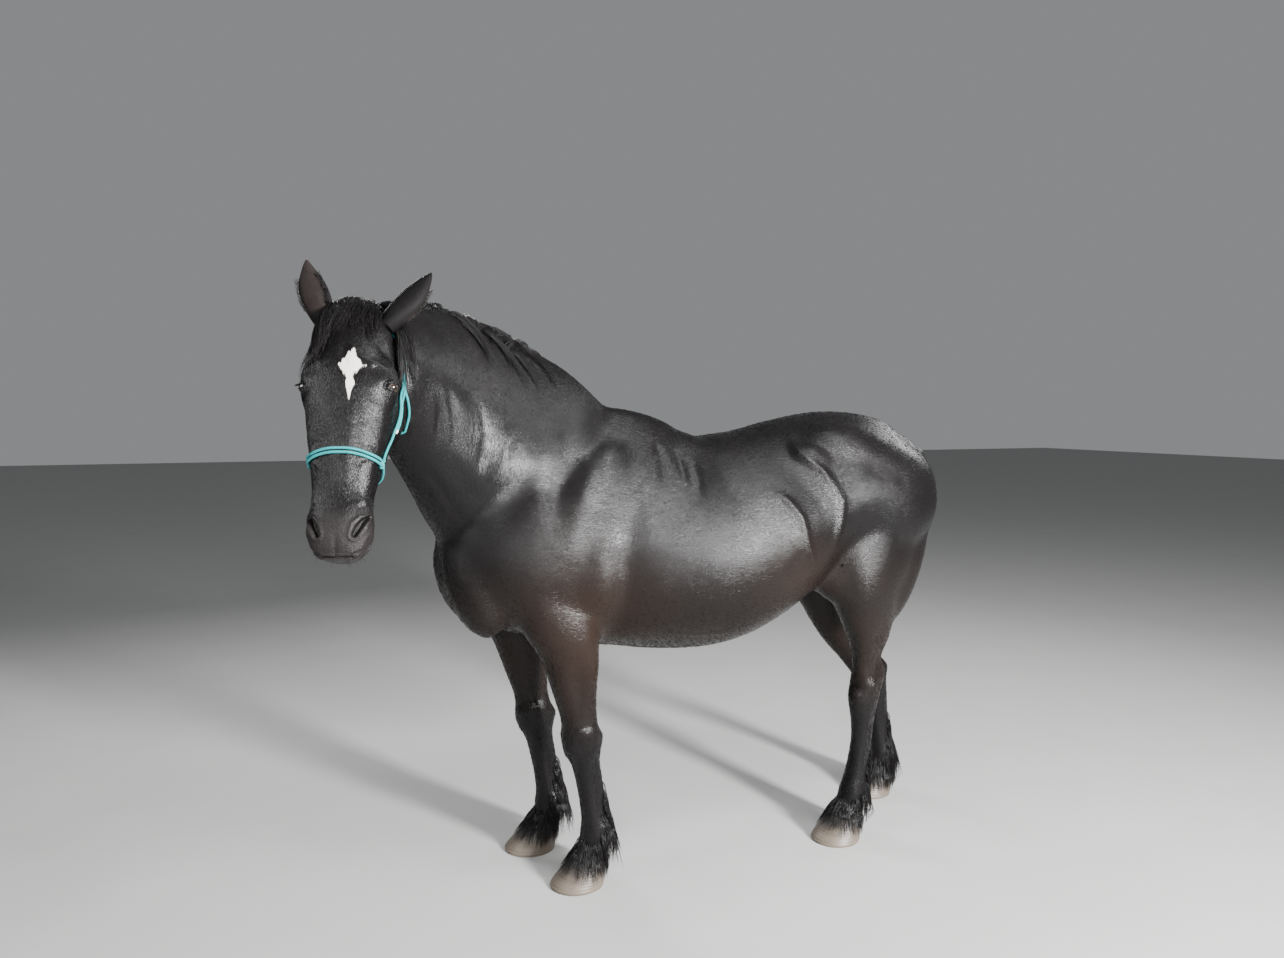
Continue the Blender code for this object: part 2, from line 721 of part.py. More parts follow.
def halter(tree):
    """The rope halter in its pieces, laid on the head."""
    nose = ((0.093, -0.014, -0.436), (0.082, 0.042, -0.434), (0.045, 0.070, -0.426), (0.0, 0.080, -0.424))
    nose += tuple((-x, y, z) for x, y, z in reversed(nose[:-1]))
    lower = [(x, y, z - 0.011) for x, y, z in nose]
    chin = ((0.093, -0.016, -0.442), (0.088, -0.075, -0.458), (0.052, -0.125, -0.472))
    chin += ((0.0, -0.145, -0.476),)
    chin += tuple((-x, y, z) for x, y, z in reversed(chin[:-1]))
    cheek = ((0.096, -0.014, -0.434), (0.112, -0.060, -0.350), (0.118, -0.085, -0.260))
    cheek += ((0.122, -0.088, -0.175), (0.120, -0.086, -0.122), (0.121, -0.083, -0.092))
    free = ((0.122, -0.090, -0.150), (0.124, -0.098, -0.205), (0.122, -0.097, -0.265))
    free += ((0.118, -0.082, -0.335),)
    throat = ((0.122, -0.080, -0.176), (0.118, -0.125, -0.205), (0.090, -0.190, -0.232))
    throat += ((0.0, -0.225, -0.240),)
    throat += tuple((-x, y, z) for x, y, z in reversed(throat[:-1]))
    crown = girth(tree, -0.02, -0.98, 11)
    made = {}
    band = [rope("halter_noseband", tree, nose), rope("lower", tree, lower)]
    band += [knot("knot", tree, (side * 0.096, -0.012, -0.440)) for side in (1, -1)]
    made["halter_noseband"] = united("halter_noseband", band)
    made["halter_crown"] = rope("halter_crown", tree, crown)
    for side, word in ((1, "left"), (-1, "right")):
        corners = [(side * x, y, z) for x, y, z in cheek]
        made["halter_cheek_" + word] = rope("halter_cheek_" + word, tree, corners)
    cheek_ropes = [made["halter_cheek_left"], rope("free_end", tree, free)]
    made["halter_cheek_left"] = united("halter_cheek_left", cheek_ropes)
    made["halter_throat"] = rope("halter_throat", tree, throat)
    under = [rope("halter_chin", tree, chin), knot("knot", tree, (0, -0.145, -0.478), 0.014)]
    made["halter_chin"] = united("halter_chin", under)
    return made


def surface_spot(tree, side, y, z):
    """Where a sideways line in head space at y and z meets the head, and that line's direction."""
    place = head_matrix()
    start = place @ Vector((side * 0.30, y, z))
    way = (place.to_3x3() @ Vector((-side, 0, 0))).normalized()
    return tree.ray_cast(start, way)[0], way


def eyes(head_obj):
    """Puts lids on the head and takes the eyes' places out of it; gives the eyeballs."""
    tree = surface_tree(head_obj)
    turn = head_matrix().to_3x3()
    made = []
    for side, word in ((1, "left"), (-1, "right")):
        spot, way = surface_spot(tree, side, *EYE)
        centre = spot + way * 0.0190
        lid = ball("lid", centre, EYE_RADIUS + 0.0035, segments=12, rings=8)
        boolean(head_obj, lid, "UNION")
        bpy.data.objects.remove(lid)
        gaze = (turn @ Vector((side * GAZE[0], GAZE[1], GAZE[2]))).normalized()
        back, front = centre + gaze * 0.004, centre + gaze * 0.040
        opening = muscle("opening", back, front, 0.019, 0.0115, turn @ Vector((0, -0.2, 1)), 1.4, 2)
        room = ball("room", centre, EYE_RADIUS + GAP, segments=12, rings=8)
        cut_away(head_obj, [opening, room])
        made.append(ball("eye_" + word, centre, EYE_RADIUS, segments=12, rings=8))
    return made


def face_cuts(head_obj):
    """The nostrils and the line of the mouth."""
    tree = surface_tree(head_obj)
    cutters = []
    for side in (1, -1):
        spots = []
        for corner in ((0.076, 0.026, -0.602), (0.063, 0.044, -0.624), (0.051, 0.048, -0.650)):
            spot, normal, _, _ = tree.find_nearest(head_matrix() @ Vector((side * corner[0], *corner[1:])))
            spots.append((spot - normal * 0.004, normal))
        cutters.append(strand("nostril", spots, [0.006, 0.011, 0.007], [0.010, 0.020, 0.012], sides=8))
    lips = ((0.078, -0.060, -0.612), (0.076, -0.040, -0.652), (0.052, -0.006, -0.688), (0.0, 0.014, -0.701))
    lips += tuple((-x, y, z) for x, y, z in reversed(lips[:-1]))
    path = laid(tree, lips, 0.0, 0.018)
    cutters.append(strand("mouth", path, [0.003] * len(path), [0.007] * len(path), sides=4))
    return cut_away(head_obj, cutters)


def name_of(centre):
    """The name of the node whose middle is here."""
    if centre.z < 0.9:
        end = "front" if centre.y < 0 else "hind"
        side = "left" if centre.x > 0 else "right"
        return f"leg_{end}_{side}"
    if (centre - head_matrix() @ Vector((0, -0.03, -0.30))).length < 0.25:
        return "head"
    return "neck" if centre.y < -0.75 and centre.z > 1.35 else "torso"


def middle(obj):
    points = [Vector(corner) for corner in obj.bound_box]
    return sum(points, Vector()) / 8


def drape(tree, start, aim, length, lift, fall, hug=0.7, steps=4, floor=0.012):
    """A path of (point, normal) rows that is rooted in the surface and lies on it, falling as it goes."""
    spot, normal, _, _ = tree.find_nearest(start)
    point, step = spot + normal * lift * 0.5, length / steps
    path = [(spot - normal * LOCK_ROOT, normal)]
    aim = aim.normalized()
    for _ in range(steps):
        ahead = point + aim * step
        spot, normal, _, _ = tree.find_nearest(ahead)
        height = (ahead - spot).dot(normal)
        if height < lift:
            ahead += normal * (lift - height)
        elif normal.z > -0.4:
            ahead += normal * (lift - height) * hug
        ahead.z = max(ahead.z, floor)
        path.append((ahead, normal))
        aim = ((ahead - point).normalized() * (1 - fall) + Vector((0, 0, -fall))).normalized()
        point = ahead
    return path


def lock(path, width, thick):
    """A flat tapered lock of hair."""
    last = len(path) - 1
    widths = [width * LOCK_TAPER[round(k * (len(LOCK_TAPER) - 1) / last)] for k in range(last + 1)]
    thicks = [thick * (1.0 - 0.8 * (k / last) ** 2) for k in range(last + 1)]
    return strand("lock", path, widths, thicks, sides=4)


def with_locks(obj, locks, solver="MANIFOLD"):
    """Fuses the locks with the node that carries them."""
    group = bpy.data.collections.new("locks")
    for made in locks:
        group.objects.link(made)
    union = obj.modifiers.new("locks", "BOOLEAN")
    union.operand_type = "COLLECTION"
    union.collection = group
    union.operation = "UNION"
    union.solver = solver
    name = obj.name
    apply_modifiers(obj)
    for made in list(group.objects):
        bpy.data.objects.remove(made)
    bpy.data.collections.remove(group)
    obj = largest(obj)
    obj.name = name
    return obj


def crest_row(share):
    """A point of the crest, the way along it to the withers and the way out to the horse's right."""
    place = 6.4 - 5.2 * share
    here, there = (blend_rows([row[0] for row in NECK_RINGS], place - k) for k in (0, 0.3))
    along = (Vector(there) - Vector(here)).normalized()
    right = Vector((0, 0, 1)).cross(along).normalized()
    return Vector(here), along, right


def mane_locks(tree, chance):
    """The mane on the horse's right, with a few locks behind the left ear and along the crest."""
    made = []
    for k in range(MANE_LOCKS):
        share = (k + 0.5 + chance.uniform(-0.3, 0.3)) / MANE_LOCKS
        here, along, right = crest_row(share)
        above = Vector((here.x, here.y, 2.5)) + right * chance.uniform(-0.01, 0.03)
        top = tree.ray_cast(above, Vector((0, 0, -1)))[0]
        if top is None:
            continue
        length = chance.uniform(0.24, 0.33) * (1 - 0.4 * abs(share - 0.45))
        aim = right + along * chance.uniform(-0.15, 0.30) + Vector((0, 0, 0.25))
        if k in (0, 1):
            length = 0.25
            aim = Vector((0, 0, 0.25)) - right * 0.9 + along * 0.12
        elif k in (8, 11):
            length = 0.22
            aim = along * 3.0 - right * 0.15 + Vector((0, 0, 0.3))
        path = drape(tree, top, aim, length, chance.uniform(0.006, 0.018), 0.40)
        made.append(lock(path, chance.uniform(0.028, 0.036), 0.009))
    return made


def forelock_locks(tree, chance):
    """The forelock, which falls from between the ears over the forehead and to the right eye."""
    place = head_matrix()
    made = []
    for k in range(FORELOCK_LOCKS):
        share = k / (FORELOCK_LOCKS - 1)
        start = place @ Vector((0.062 - 0.115 * share, 0.045, -0.010 + chance.uniform(-0.01, 0.01)))
        aim = place.to_3x3() @ Vector((0.22 - 0.85 * share, 0.45, -0.8))
        length = (0.130, 0.118, 0.108, 0.140, 0.200, 0.240, 0.220)[k]
        path = drape(tree, start, aim, length, chance.uniform(0.006, 0.010), 0.12, hug=0.9)
        made.append(lock(path, 0.024, 0.008))
    return made


def tail_locks(tree, chance):
    made = []
    for k in range(TAIL_LOCKS):
        turn = 2 * math.pi * k / TAIL_LOCKS * 2.0
        height = 1.42 - 0.30 * k / TAIL_LOCKS
        start = Vector((0.06 * math.sin(turn) - 0.026, 0.885 + 0.06 * math.cos(turn), height))
        aim = Vector((0.06 * math.sin(turn) - 0.05, 0.02 * math.cos(turn) - 0.05, -1))
        length = min(chance.uniform(0.26, 0.36), height - 0.93)
        path = drape(tree, start, aim, length, chance.uniform(0.004, 0.010), 0.05)
        made.append(lock(path, chance.uniform(0.020, 0.026), 0.008))
    return made


def feather_locks(name, tree, chance):
    """The long hair that hangs behind a cannon and a fetlock, and the fringe over the hoof."""
    fullness = 1.0 if "front" in name else 0.55
    _, toe_out, places, _ = LEGS[name]
    toe = math.radians(toe_out) - math.pi / 2
    made = []
    for height, spread, count, length, push, width in FEATHER_ROWS:
        for k in range(count):
            share = (k + chance.uniform(-0.15, 0.15)) / (count - 1) - 0.5
            turn = toe + math.pi + share * spread
            x, y = at_height(places, height)
            out = Vector((math.cos(turn), math.sin(turn), 0))
            start = Vector((x, y, height + chance.uniform(-0.010, 0.010))) + out * 0.06
            behind = max(0.0, math.cos(share * spread)) if spread < 4 else 0.5
            aim = out * push * fullness * (0.25 + 0.75 * behind) + Vector((0, 0, -1))
            reach = length * chance.uniform(0.92, 1.05)
            path = drape(tree, start, aim, reach, 0.006, 0.10, hug=0.1, steps=3)
            made.append(lock(path, width, 0.010))
    return made


def finish(nodes):
    """Gives each node its material and stands the whole on its bounding box's middle."""
    low = Vector((min(v.co[k] for obj in nodes.values() for v in obj.data.vertices) for k in range(3)))
    high = Vector((max(v.co[k] for obj in nodes.values() for v in obj.data.vertices) for k in range(3)))
    shift = Matrix.Translation((-(low.x + high.x) / 2, -(low.y + high.y) / 2, -low.z))
    for name, obj in nodes.items():
        obj.data.transform(shift)
        obj.data.name = name
        obj.data.materials.clear()
        obj.data.materials.append(material(name))


def material(name):
    """A plain material for one node: its colour and roughness come from what it is."""
    word = name.split("_")[0]
    color, rough, metallic = FINISHES.get(word, FINISHES["coat"])
    made = bpy.data.materials.new(name)
    made.use_nodes = True
    shader = made.node_tree.nodes["Principled BSDF"]
    shader.inputs["Base Color"].default_value = (*color, 1)
    shader.inputs["Roughness"].default_value = rough
    shader.inputs["Metallic"].default_value = metallic
    return made


def main():
    for obj in list(bpy.data.objects):
        bpy.data.objects.remove(obj)
    parts = [trunk(), neck(), head()] + [leg(name) for name in LEGS]
    parts += body_muscles() + thigh("thigh", 1, 0.0) + thigh("thigh", -1, 0.25) + head_shapes()
    body = fused(joined("body", parts), FUSE_VOXEL)
    smoothed(body, 70, body_softness)
    thinned(body, BODY_TRIANGLES, lambda point: not near_head(point))
    thinned(body, HEAD_TRIANGLES, near_head)
    cut_away(body, [joined("cuts", part_cuts())])
    cut_away(body, [box("ground", (0, 0, CORONET / 2 - 0.1), (3, 4, CORONET + 0.2))])
    nodes = {}
    for piece in pieces_of(body):
        name = name_of(middle(piece))
        if name in nodes:
            bpy.data.objects.remove(piece)
            continue
        piece.name = name
        nodes[name] = piece
    for name in LEGS:
        made = hoof(name)
        nodes[made.name] = made
    chance = random.Random(11)
    bare = surface_tree(nodes["head"], nodes["neck"])
    face_cuts(nodes["head"])
    balls = eyes(nodes["head"])
    nodes["head"] = with_locks(nodes["head"], forelock_locks(surface_tree(nodes["head"]), chance))
    nodes["neck"] = with_locks(nodes["neck"], mane_locks(bare, chance))
    nodes["neck"] = seat(nodes["neck"], nodes["head"], nodes["torso"])
    dock = tail()
    nodes["tail"] = seat(with_locks(dock, tail_locks(surface_tree(dock), chance)), nodes["torso"])
    for name in LEGS:
        foot = name.replace("leg", "hoof")
        tree = surface_tree(nodes[name], nodes[foot])
        nodes[name] = seat(with_locks(nodes[name], feather_locks(name, tree, random.Random(1))), nodes[foot])
    for made in balls:
        nodes[made.name] = made
    for name in EARS:
        nodes[name] = seat(ear(name), nodes["head"], nodes["neck"])
    placed = [nodes["head"], nodes["neck"], nodes["ear_left"], nodes["ear_right"]]
    for name, piece in halter(bare).items():
        nodes[name] = seat(piece, *placed)
        placed.append(nodes[name])
    for name in list(nodes):
        nodes[name] = largest(nodes[name])
        nodes[name].name = name
    finish(nodes)


main()
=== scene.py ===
# a life-size percheron horse model, standing with its head turned to its left, in a rope halter
import math
import random
from contextlib import contextmanager

import bmesh
import bpy
import numpy as np
from mathutils import Matrix, Vector
from mathutils.bvhtree import BVHTree


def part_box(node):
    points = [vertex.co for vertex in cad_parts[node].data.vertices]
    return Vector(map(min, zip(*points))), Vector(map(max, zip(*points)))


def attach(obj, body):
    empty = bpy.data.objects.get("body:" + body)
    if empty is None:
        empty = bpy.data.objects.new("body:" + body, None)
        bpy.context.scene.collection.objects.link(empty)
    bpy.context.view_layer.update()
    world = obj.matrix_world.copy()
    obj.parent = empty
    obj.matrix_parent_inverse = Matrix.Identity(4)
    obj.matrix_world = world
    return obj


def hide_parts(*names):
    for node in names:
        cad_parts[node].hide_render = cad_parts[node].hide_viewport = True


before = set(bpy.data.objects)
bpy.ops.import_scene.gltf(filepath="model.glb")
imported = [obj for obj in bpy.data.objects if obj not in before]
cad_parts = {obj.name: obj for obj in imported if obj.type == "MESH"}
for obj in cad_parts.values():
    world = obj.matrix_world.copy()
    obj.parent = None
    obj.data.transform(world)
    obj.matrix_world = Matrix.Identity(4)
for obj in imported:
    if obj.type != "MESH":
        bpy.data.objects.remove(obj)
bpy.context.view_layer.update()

chance = random.Random(7)
dice = np.random.default_rng(7)
print("frame loaded")

# heights that several pieces share, in metres above the floor
levels = {
    "gap": 0.0003,
    "coronet": 0.085,
    "fetlock": 0.175,
    "knee": 0.5,
    "elbow": 0.93,
    "stifle": 1.0,
}


def link(obj):
    bpy.context.scene.collection.objects.link(obj)
    return obj


def meshObject(name, points, faces):
    mesh = bpy.data.meshes.new(name)
    mesh.from_pydata([tuple(p) for p in points], [], faces)
    return link(bpy.data.objects.new(name, mesh))


# an object that holds this shape
def shapeObject(name, shape):
    mesh = bpy.data.meshes.new(name)
    shape.to_mesh(mesh)
    shape.free()
    return link(bpy.data.objects.new(name, mesh))


# the object's mesh as a shape to change, which is put back at the end
@contextmanager
def changed(obj):
    shape = bmesh.new()
    shape.from_mesh(obj.data)
    yield shape
    shape.to_mesh(obj.data)
    shape.free()


def shadeSmooth(obj):
    obj.data.polygons.foreach_set("use_smooth", [True] * len(obj.data.polygons))
    return obj


def faceOutwards(obj):
    with changed(obj) as shape:
        bmesh.ops.recalc_face_normals(shape, faces=shape.faces)
        if shape.calc_volume(signed=True) < 0:
            bmesh.ops.reverse_faces(shape, faces=shape.faces)
    return obj


def signedPower(value, power):
    return math.copysign(abs(value) ** power, value)


# the row at a place counted in rows, on a smooth curve through all of them
def blendRows(rows, place):
    i = min(int(place), len(rows) - 2)
    t = place - i
    near = [rows[max(0, min(len(rows) - 1, k))] for k in range(i - 1, i + 3)]
    return [
        0.5 * (2 * b + (c - a) * t + (2 * a - 5 * b + 4 * c - d) * t * t + (3 * b - a - 3 * c + d) * t ** 3)
        for a, b, c, d in zip(*near)
    ]


# a closed tube through rows of (x, y, z, half width, reach up, reach down, narrowing, squareness).
# Its rings stand square to its middle line, or to the level direction where one is given
def loft(name, rows, up, sides=36, steps=5, level=None):
    rings = [blendRows(rows, k / steps) for k in range((len(rows) - 1) * steps + 1)]
    centres = [Vector(ring[:3]) for ring in rings]
    points, faces = [], []
    for k, ring in enumerate(rings):
        along = level or (centres[min(k + 1, len(rings) - 1)] - centres[max(k - 1, 0)]).normalized()
        high = (up - along * up.dot(along)).normalized()
        side = high.cross(along)
        width, above, below, narrowing, squareness = ring[3:]
        for j in range(sides):
            turn = 2 * math.pi * j / sides
            across = signedPower(math.cos(turn), 2 / squareness)
            rise = signedPower(math.sin(turn), 2 / squareness)
            across *= 1 - narrowing * max(0.0, rise) ** 1.5
            reach = above if rise > 0 else below
            points.append(centres[k] + side * across * width + high * rise * reach)
    for k in range(len(rings) - 1):
        for j in range(sides):
            a, b = k * sides + j, k * sides + (j + 1) % sides
            faces.append((a, b, b + sides, a + sides))
    faces.append(tuple(reversed(range(sides))))
    faces.append(tuple(range(len(points) - sides, len(points))))
    return faceOutwards(meshObject(name, points, faces))


# an ellipsoid stretched from start to end, thick along facing and across the other way
def muscle(name, start, end, across, thick, facing, bulge=1.0, detail=4):
    start, end, facing = Vector(start), Vector(end), Vector(facing)
    along = (end - start).normalized()
    out = (facing - along * facing.dot(along)).normalized()
    turn = Matrix((along.cross(out), along, out)).transposed().to_4x4()
    size = Matrix.Diagonal((across, (end - start).length / 2 * bulge, thick, 1))
    place = Matrix.Translation((start + end) / 2) @ turn @ size
    shape = bmesh.new()
    bmesh.ops.create_icosphere(shape, subdivisions=detail, radius=1.0)
    bmesh.ops.transform(shape, matrix=place, verts=shape.verts)
    return shapeObject(name, shape)


# the same muscles on the horse's left, where x is positive, and on its right
def bothSides(rows):
    made = []
    for name, start, end, across, thick, facing, bulge in rows:
        for side in (1, -1):
            flip = Vector((side, 1, 1))
            ends = Vector(start) * flip, Vector(end) * flip
            made.append(muscle(name, *ends, across, thick, Vector(facing) * flip, bulge))
    return made


# one shape with the meshes of all of these
def gathered(objects):
    shape = bmesh.new()
    for obj in objects:
        shape.from_mesh(obj.data)
    return shape


# one object in place of all of these
def joined(name, objects):
    made = shapeObject(name, gathered(objects))
    for obj in objects:
        bpy.data.objects.remove(obj)
    return made


# a searchable copy of the surfaces of these objects
def surfaceTree(*objects):
    shape = gathered(objects)
    tree = BVHTree.FromBMesh(shape)
    shape.free()
    return tree


# replaces the object's mesh by the one that a modifier of this kind makes
def modified(obj, kind, **settings):
    change = obj.modifiers.new("change", kind)
    for key, value in settings.items():
        setattr(change, key, value)
    graph = bpy.context.evaluated_depsgraph_get()
    made = bpy.data.meshes.new_from_object(obj.evaluated_get(graph))
    obj.modifiers.clear()
    obj.data = made
    obj.vertex_groups.clear()
    return obj


# weighs the object's points by the share from 0 to 1 that the function gives for each
def weighed(obj, share):
    group = obj.vertex_groups.new(name="share")
    for vertex in obj.data.vertices:
        group.add([vertex.index], float(share(vertex.co)), "REPLACE")
    return group.name


def fused(obj, voxel):
    return modified(obj, "REMESH", mode="VOXEL", voxel_size=voxel)


# smooths the surface, by the share that the function gives for a point
def smoothed(obj, rounds, share):
    return modified(obj, "SMOOTH", factor=0.5, iterations=rounds, vertex_group=weighed(obj, share))


# thins the region where the function is true, down to about this many triangles
def thinned(obj, triangles, wanted):
    sides = [(wanted(face.center), len(face.vertices) - 2) for face in obj.data.polygons]
    kept = sum(count for inside, count in sides if not inside)
    ratio = (kept + triangles) / sum(count for inside, count in sides)
    group = weighed(obj, wanted)
    return modified(obj, "DECIMATE", ratio=ratio, vertex_group=group, vertex_group_factor=1.0)


# takes the cutter out of the object and removes it
def cutAway(obj, cutter):
    modified(obj, "BOOLEAN", object=cutter, operation="DIFFERENCE", solver="EXACT")
    bpy.data.objects.remove(cutter)


# head, eyes, nostrils and lips are placed in head space: x to the head's left, y out of the
# face, z up from the lips to the poll
headShape = {
    # from the poll to the lips: distance, half width, reach to the face and to the jaw, squareness
    "rings": (
        (-0.02, 0.035, 0.02, 0.04, 2.0),
        (0.02, 0.078, 0.056, 0.095, 2.1),
        (0.08, 0.1, 0.08, 0.15, 2.3),
        (0.16, 0.112, 0.094, 0.19, 2.5),
        (0.23, 0.118, 0.092, 0.21, 2.5),
        (0.31, 0.113, 0.082, 0.208, 2.5),
        (0.39, 0.101, 0.071, 0.172, 2.7),
        (0.47, 0.087, 0.06, 0.126, 2.7),
        (0.54, 0.079, 0.052, 0.1, 2.5),
        (0.615, 0.088, 0.052, 0.096, 2.2),
        (0.672, 0.08, 0.042, 0.088, 2.2),
        (0.713, 0.05, 0.016, 0.062, 2.0),
    ),
    "size": 1.03,
    "middle": (0, -0.02, -0.34),
    "poll": Vector((0.361, -1.345, 1.92)),
    "turn": math.radians(72),
    "noseForward": math.radians(21),
}


# from head space to the horse's own
def headMatrix():
    forward = Vector((math.sin(headShape["turn"]), -math.cos(headShape["turn"]), 0))
    up = Vector((0, 0, 1))
    face = forward * math.cos(headShape["noseForward"]) + up * math.sin(headShape["noseForward"])
    top = up * math.cos(headShape["noseForward"]) - forward * math.sin(headShape["noseForward"])
    left = up.cross(forward)
    turn = Matrix((left, face, top)).transposed().to_4x4()
    return Matrix.Translation(headShape["poll"]) @ turn @ Matrix.Scale(headShape["size"], 4)


def fromHead(point, place=headShape["middle"]):
    return (point - headMatrix() @ Vector(place)).length


def head():
    rows = []
    for far, width, face, jaw, squareness in headShape["rings"]:
        rows.append((0, 0, -far, width, face, jaw, 0.0, squareness))
    obj = loft("head", rows, Vector((0, 1, 0)), sides=48)
    obj.data.transform(headMatrix())
    return obj


# the forms that stand out of the head: start, end, half width, half thickness, facing, bulge
headForms = (
    ("cheek", (0.084, -0.095, -0.2), (0.076, -0.115, -0.35), 0.105, 0.038, (1, 0, 0), 1.25),
    ("orbit", (0.104, 0.036, -0.165), (0.099, 0.014, -0.3), 0.05, 0.028, (1, 0.4, 0), 1.1),
    ("brow", (0.06, 0.066, -0.13), (0.104, 0.044, -0.215), 0.036, 0.016, (0.6, 1, 0), 1.1),
    ("cheekbone", (0.096, 0.006, -0.25), (0.074, -0.004, -0.42), 0.018, 0.016, (1, 0, 0), 1.1),
    ("nostril", (0.05, 0.02, -0.59), (0.062, 0.0, -0.668), 0.034, 0.028, (1, 0.5, 0), 1.15),
    ("chin", (0.018, -0.078, -0.645), (0.018, -0.07, -0.7), 0.034, 0.026, (0, -1, 0), 1.1),
)


def headMuscles():
    made = bothSides(headForms)
    for obj in made:
        obj.data.transform(headMatrix())
    return made


trunkShape = {
    # from the breast to the buttocks: y, top, bottom, half width, narrowing of the top, squareness
    "rings": (
        (-1.05, 1.215, 1.01, 0.08, 0.0, 2.0),
        (-1.0, 1.33, 0.935, 0.19, 0.1, 2.1),
        (-0.9, 1.46, 0.865, 0.262, 0.3, 2.2),
        (-0.76, 1.575, 0.825, 0.292, 0.5, 2.2),
        (-0.6, 1.645, 0.81, 0.3, 0.62, 2.2),
        (-0.45, 1.652, 0.795, 0.318, 0.66, 2.2),
        (-0.27, 1.578, 0.772, 0.362, 0.5, 2.2),
        (-0.08, 1.56, 0.776, 0.388, 0.34, 2.15),
        (0.12, 1.59, 0.88, 0.386, 0.3, 2.1),
        (0.3, 1.625, 1.01, 0.356, 0.3, 2.0),
        (0.46, 1.64, 1.075, 0.345, 0.32, 2.2),
        (0.61, 1.612, 1.03, 0.335, 0.35, 2.2),
        (0.73, 1.55, 1.06, 0.295, 0.35, 2.2),
        (0.81, 1.47, 1.1, 0.215, 0.3, 2.1),
        (0.86, 1.365, 1.19, 0.105, 0.1, 2.0),
    ),
}


def trunk():
    rows = []
    for y, top, bottom, width, narrowing, squareness in trunkShape["rings"]:
        middle = bottom + 0.46 * (top - bottom)
        rows.append((0, y, middle, width, top - middle, middle - bottom, narrowing, squareness))
    return loft("trunk", rows, Vector((0, 0, 1)), sides=48)


neckShape = {
    # from inside the shoulders to the poll: centre, half width, reach to the crest and the throat
    "rings": (
        ((0.0, -0.6, 1.29), 0.225, 0.35, 0.34),
        ((0.0, -0.75, 1.39), 0.215, 0.395, 0.38),
        ((0.02, -0.89, 1.49), 0.19, 0.41, 0.335),
        ((0.07, -1.01, 1.59), 0.162, 0.38, 0.28),
        ((0.145, -1.12, 1.68), 0.142, 0.325, 0.235),
        ((0.23, -1.21, 1.745), 0.128, 0.26, 0.2),
        ((0.305, -1.265, 1.785), 0.112, 0.19, 0.16),
        ((0.35, -1.29, 1.8), 0.07, 0.11, 0.08),
    ),
}


def neck():
    rows = [(*centre, width, above, below, 0.45, 2.0) for centre, width, above, below in neckShape["rings"]]
    return loft("neck", rows, Vector((0, 0, 1)), sides=48)


frontLeft = (
    (0.05, 0.165, -0.606),
    (levels["coronet"], 0.165, -0.592),
    (levels["fetlock"], 0.165, -0.572),
    (levels["knee"], 0.165, -0.612),
    (levels["elbow"], 0.175, -0.645),
    (1.15, 0.16, -0.69),
)
frontRight = (
    (0.05, -0.16, -0.69),
    (levels["coronet"], -0.16, -0.676),
    (levels["fetlock"], -0.16, -0.65),
    (levels["knee"], -0.165, -0.693),
    (levels["elbow"], -0.18, -0.735),
    (1.15, -0.16, -0.71),
)
hindLeft = (
    (0.05, 0.165, 0.43),
    (levels["coronet"], 0.165, 0.442),
    (levels["fetlock"], 0.165, 0.474),
    (0.36, 0.165, 0.51),
    (0.64, 0.165, 0.528),
    (0.82, 0.18, 0.53),
    (levels["stifle"], 0.195, 0.5),
    (1.25, 0.18, 0.54),
)
hindRight = (
    (0.05, -0.16, 0.812),
    (levels["coronet"], -0.16, 0.816),
    (levels["fetlock"], -0.16, 0.828),
    (0.37, -0.16, 0.8),
    (0.49, -0.163, 0.772),
    (0.56, -0.165, 0.728),
    (0.64, -0.168, 0.678),
    (0.73, -0.173, 0.632),
    (0.82, -0.18, 0.6),
    (levels["stifle"], -0.195, 0.555),
    (1.25, -0.18, 0.56),
)
legShape = {
    # from the hoof up: height, half width, reach forward, reach back
    "fore": (
        (0.05, 0.064, 0.06, 0.058),
        (levels["coronet"], 0.065, 0.06, 0.064),
        (0.13, 0.051, 0.044, 0.056),
        (levels["fetlock"], 0.052, 0.045, 0.066),
        (0.24, 0.042, 0.036, 0.056),
        (0.33, 0.039, 0.036, 0.056),
        (0.42, 0.045, 0.046, 0.056),
        (0.47, 0.06, 0.064, 0.066),
        (0.53, 0.065, 0.07, 0.066),
        (0.59, 0.058, 0.07, 0.06),
        (0.68, 0.066, 0.09, 0.066),
        (0.79, 0.083, 0.118, 0.08),
        (0.84, 0.09, 0.142, 0.084),
        (0.9, 0.096, 0.172, 0.09),
        (1.02, 0.1, 0.185, 0.125),
        (1.14, 0.085, 0.13, 0.14),
    ),
    "hind": (
        (0.05, 0.062, 0.06, 0.057),
        (levels["coronet"], 0.064, 0.06, 0.063),
        (0.13, 0.05, 0.043, 0.054),
        (levels["fetlock"], 0.051, 0.044, 0.064),
        (0.25, 0.04, 0.037, 0.053),
        (0.36, 0.037, 0.037, 0.05),
        (0.45, 0.043, 0.044, 0.056),
        (0.53, 0.052, 0.064, 0.07),
        (0.6, 0.053, 0.058, 0.094),
        (0.64, 0.048, 0.056, 0.088),
        (0.7, 0.05, 0.064, 0.072),
        (0.79, 0.074, 0.094, 0.1),
        (0.9, 0.098, 0.135, 0.13),
        (1.01, 0.118, 0.175, 0.19),
        (1.13, 0.125, 0.2, 0.23),
        (1.25, 0.11, 0.19, 0.21),
    ),
}
# from which height and over how much of the leg a hock sinks
legShape["sinks"] = (0.2, 0.8)
# its rings, how far its toe turns out in degrees, its middle line and how far its hock sinks
legShape["legs"] = {
    "leg_front_left": (legShape["fore"], 6, frontLeft, 0.0),
    "leg_front_right": (legShape["fore"], -6, frontRight, 0.0),
    "leg_hind_left": (legShape["hind"], 12, hindLeft, 0.0),
    "leg_hind_right": (legShape["hind"], -12, hindRight, 0.08),
}


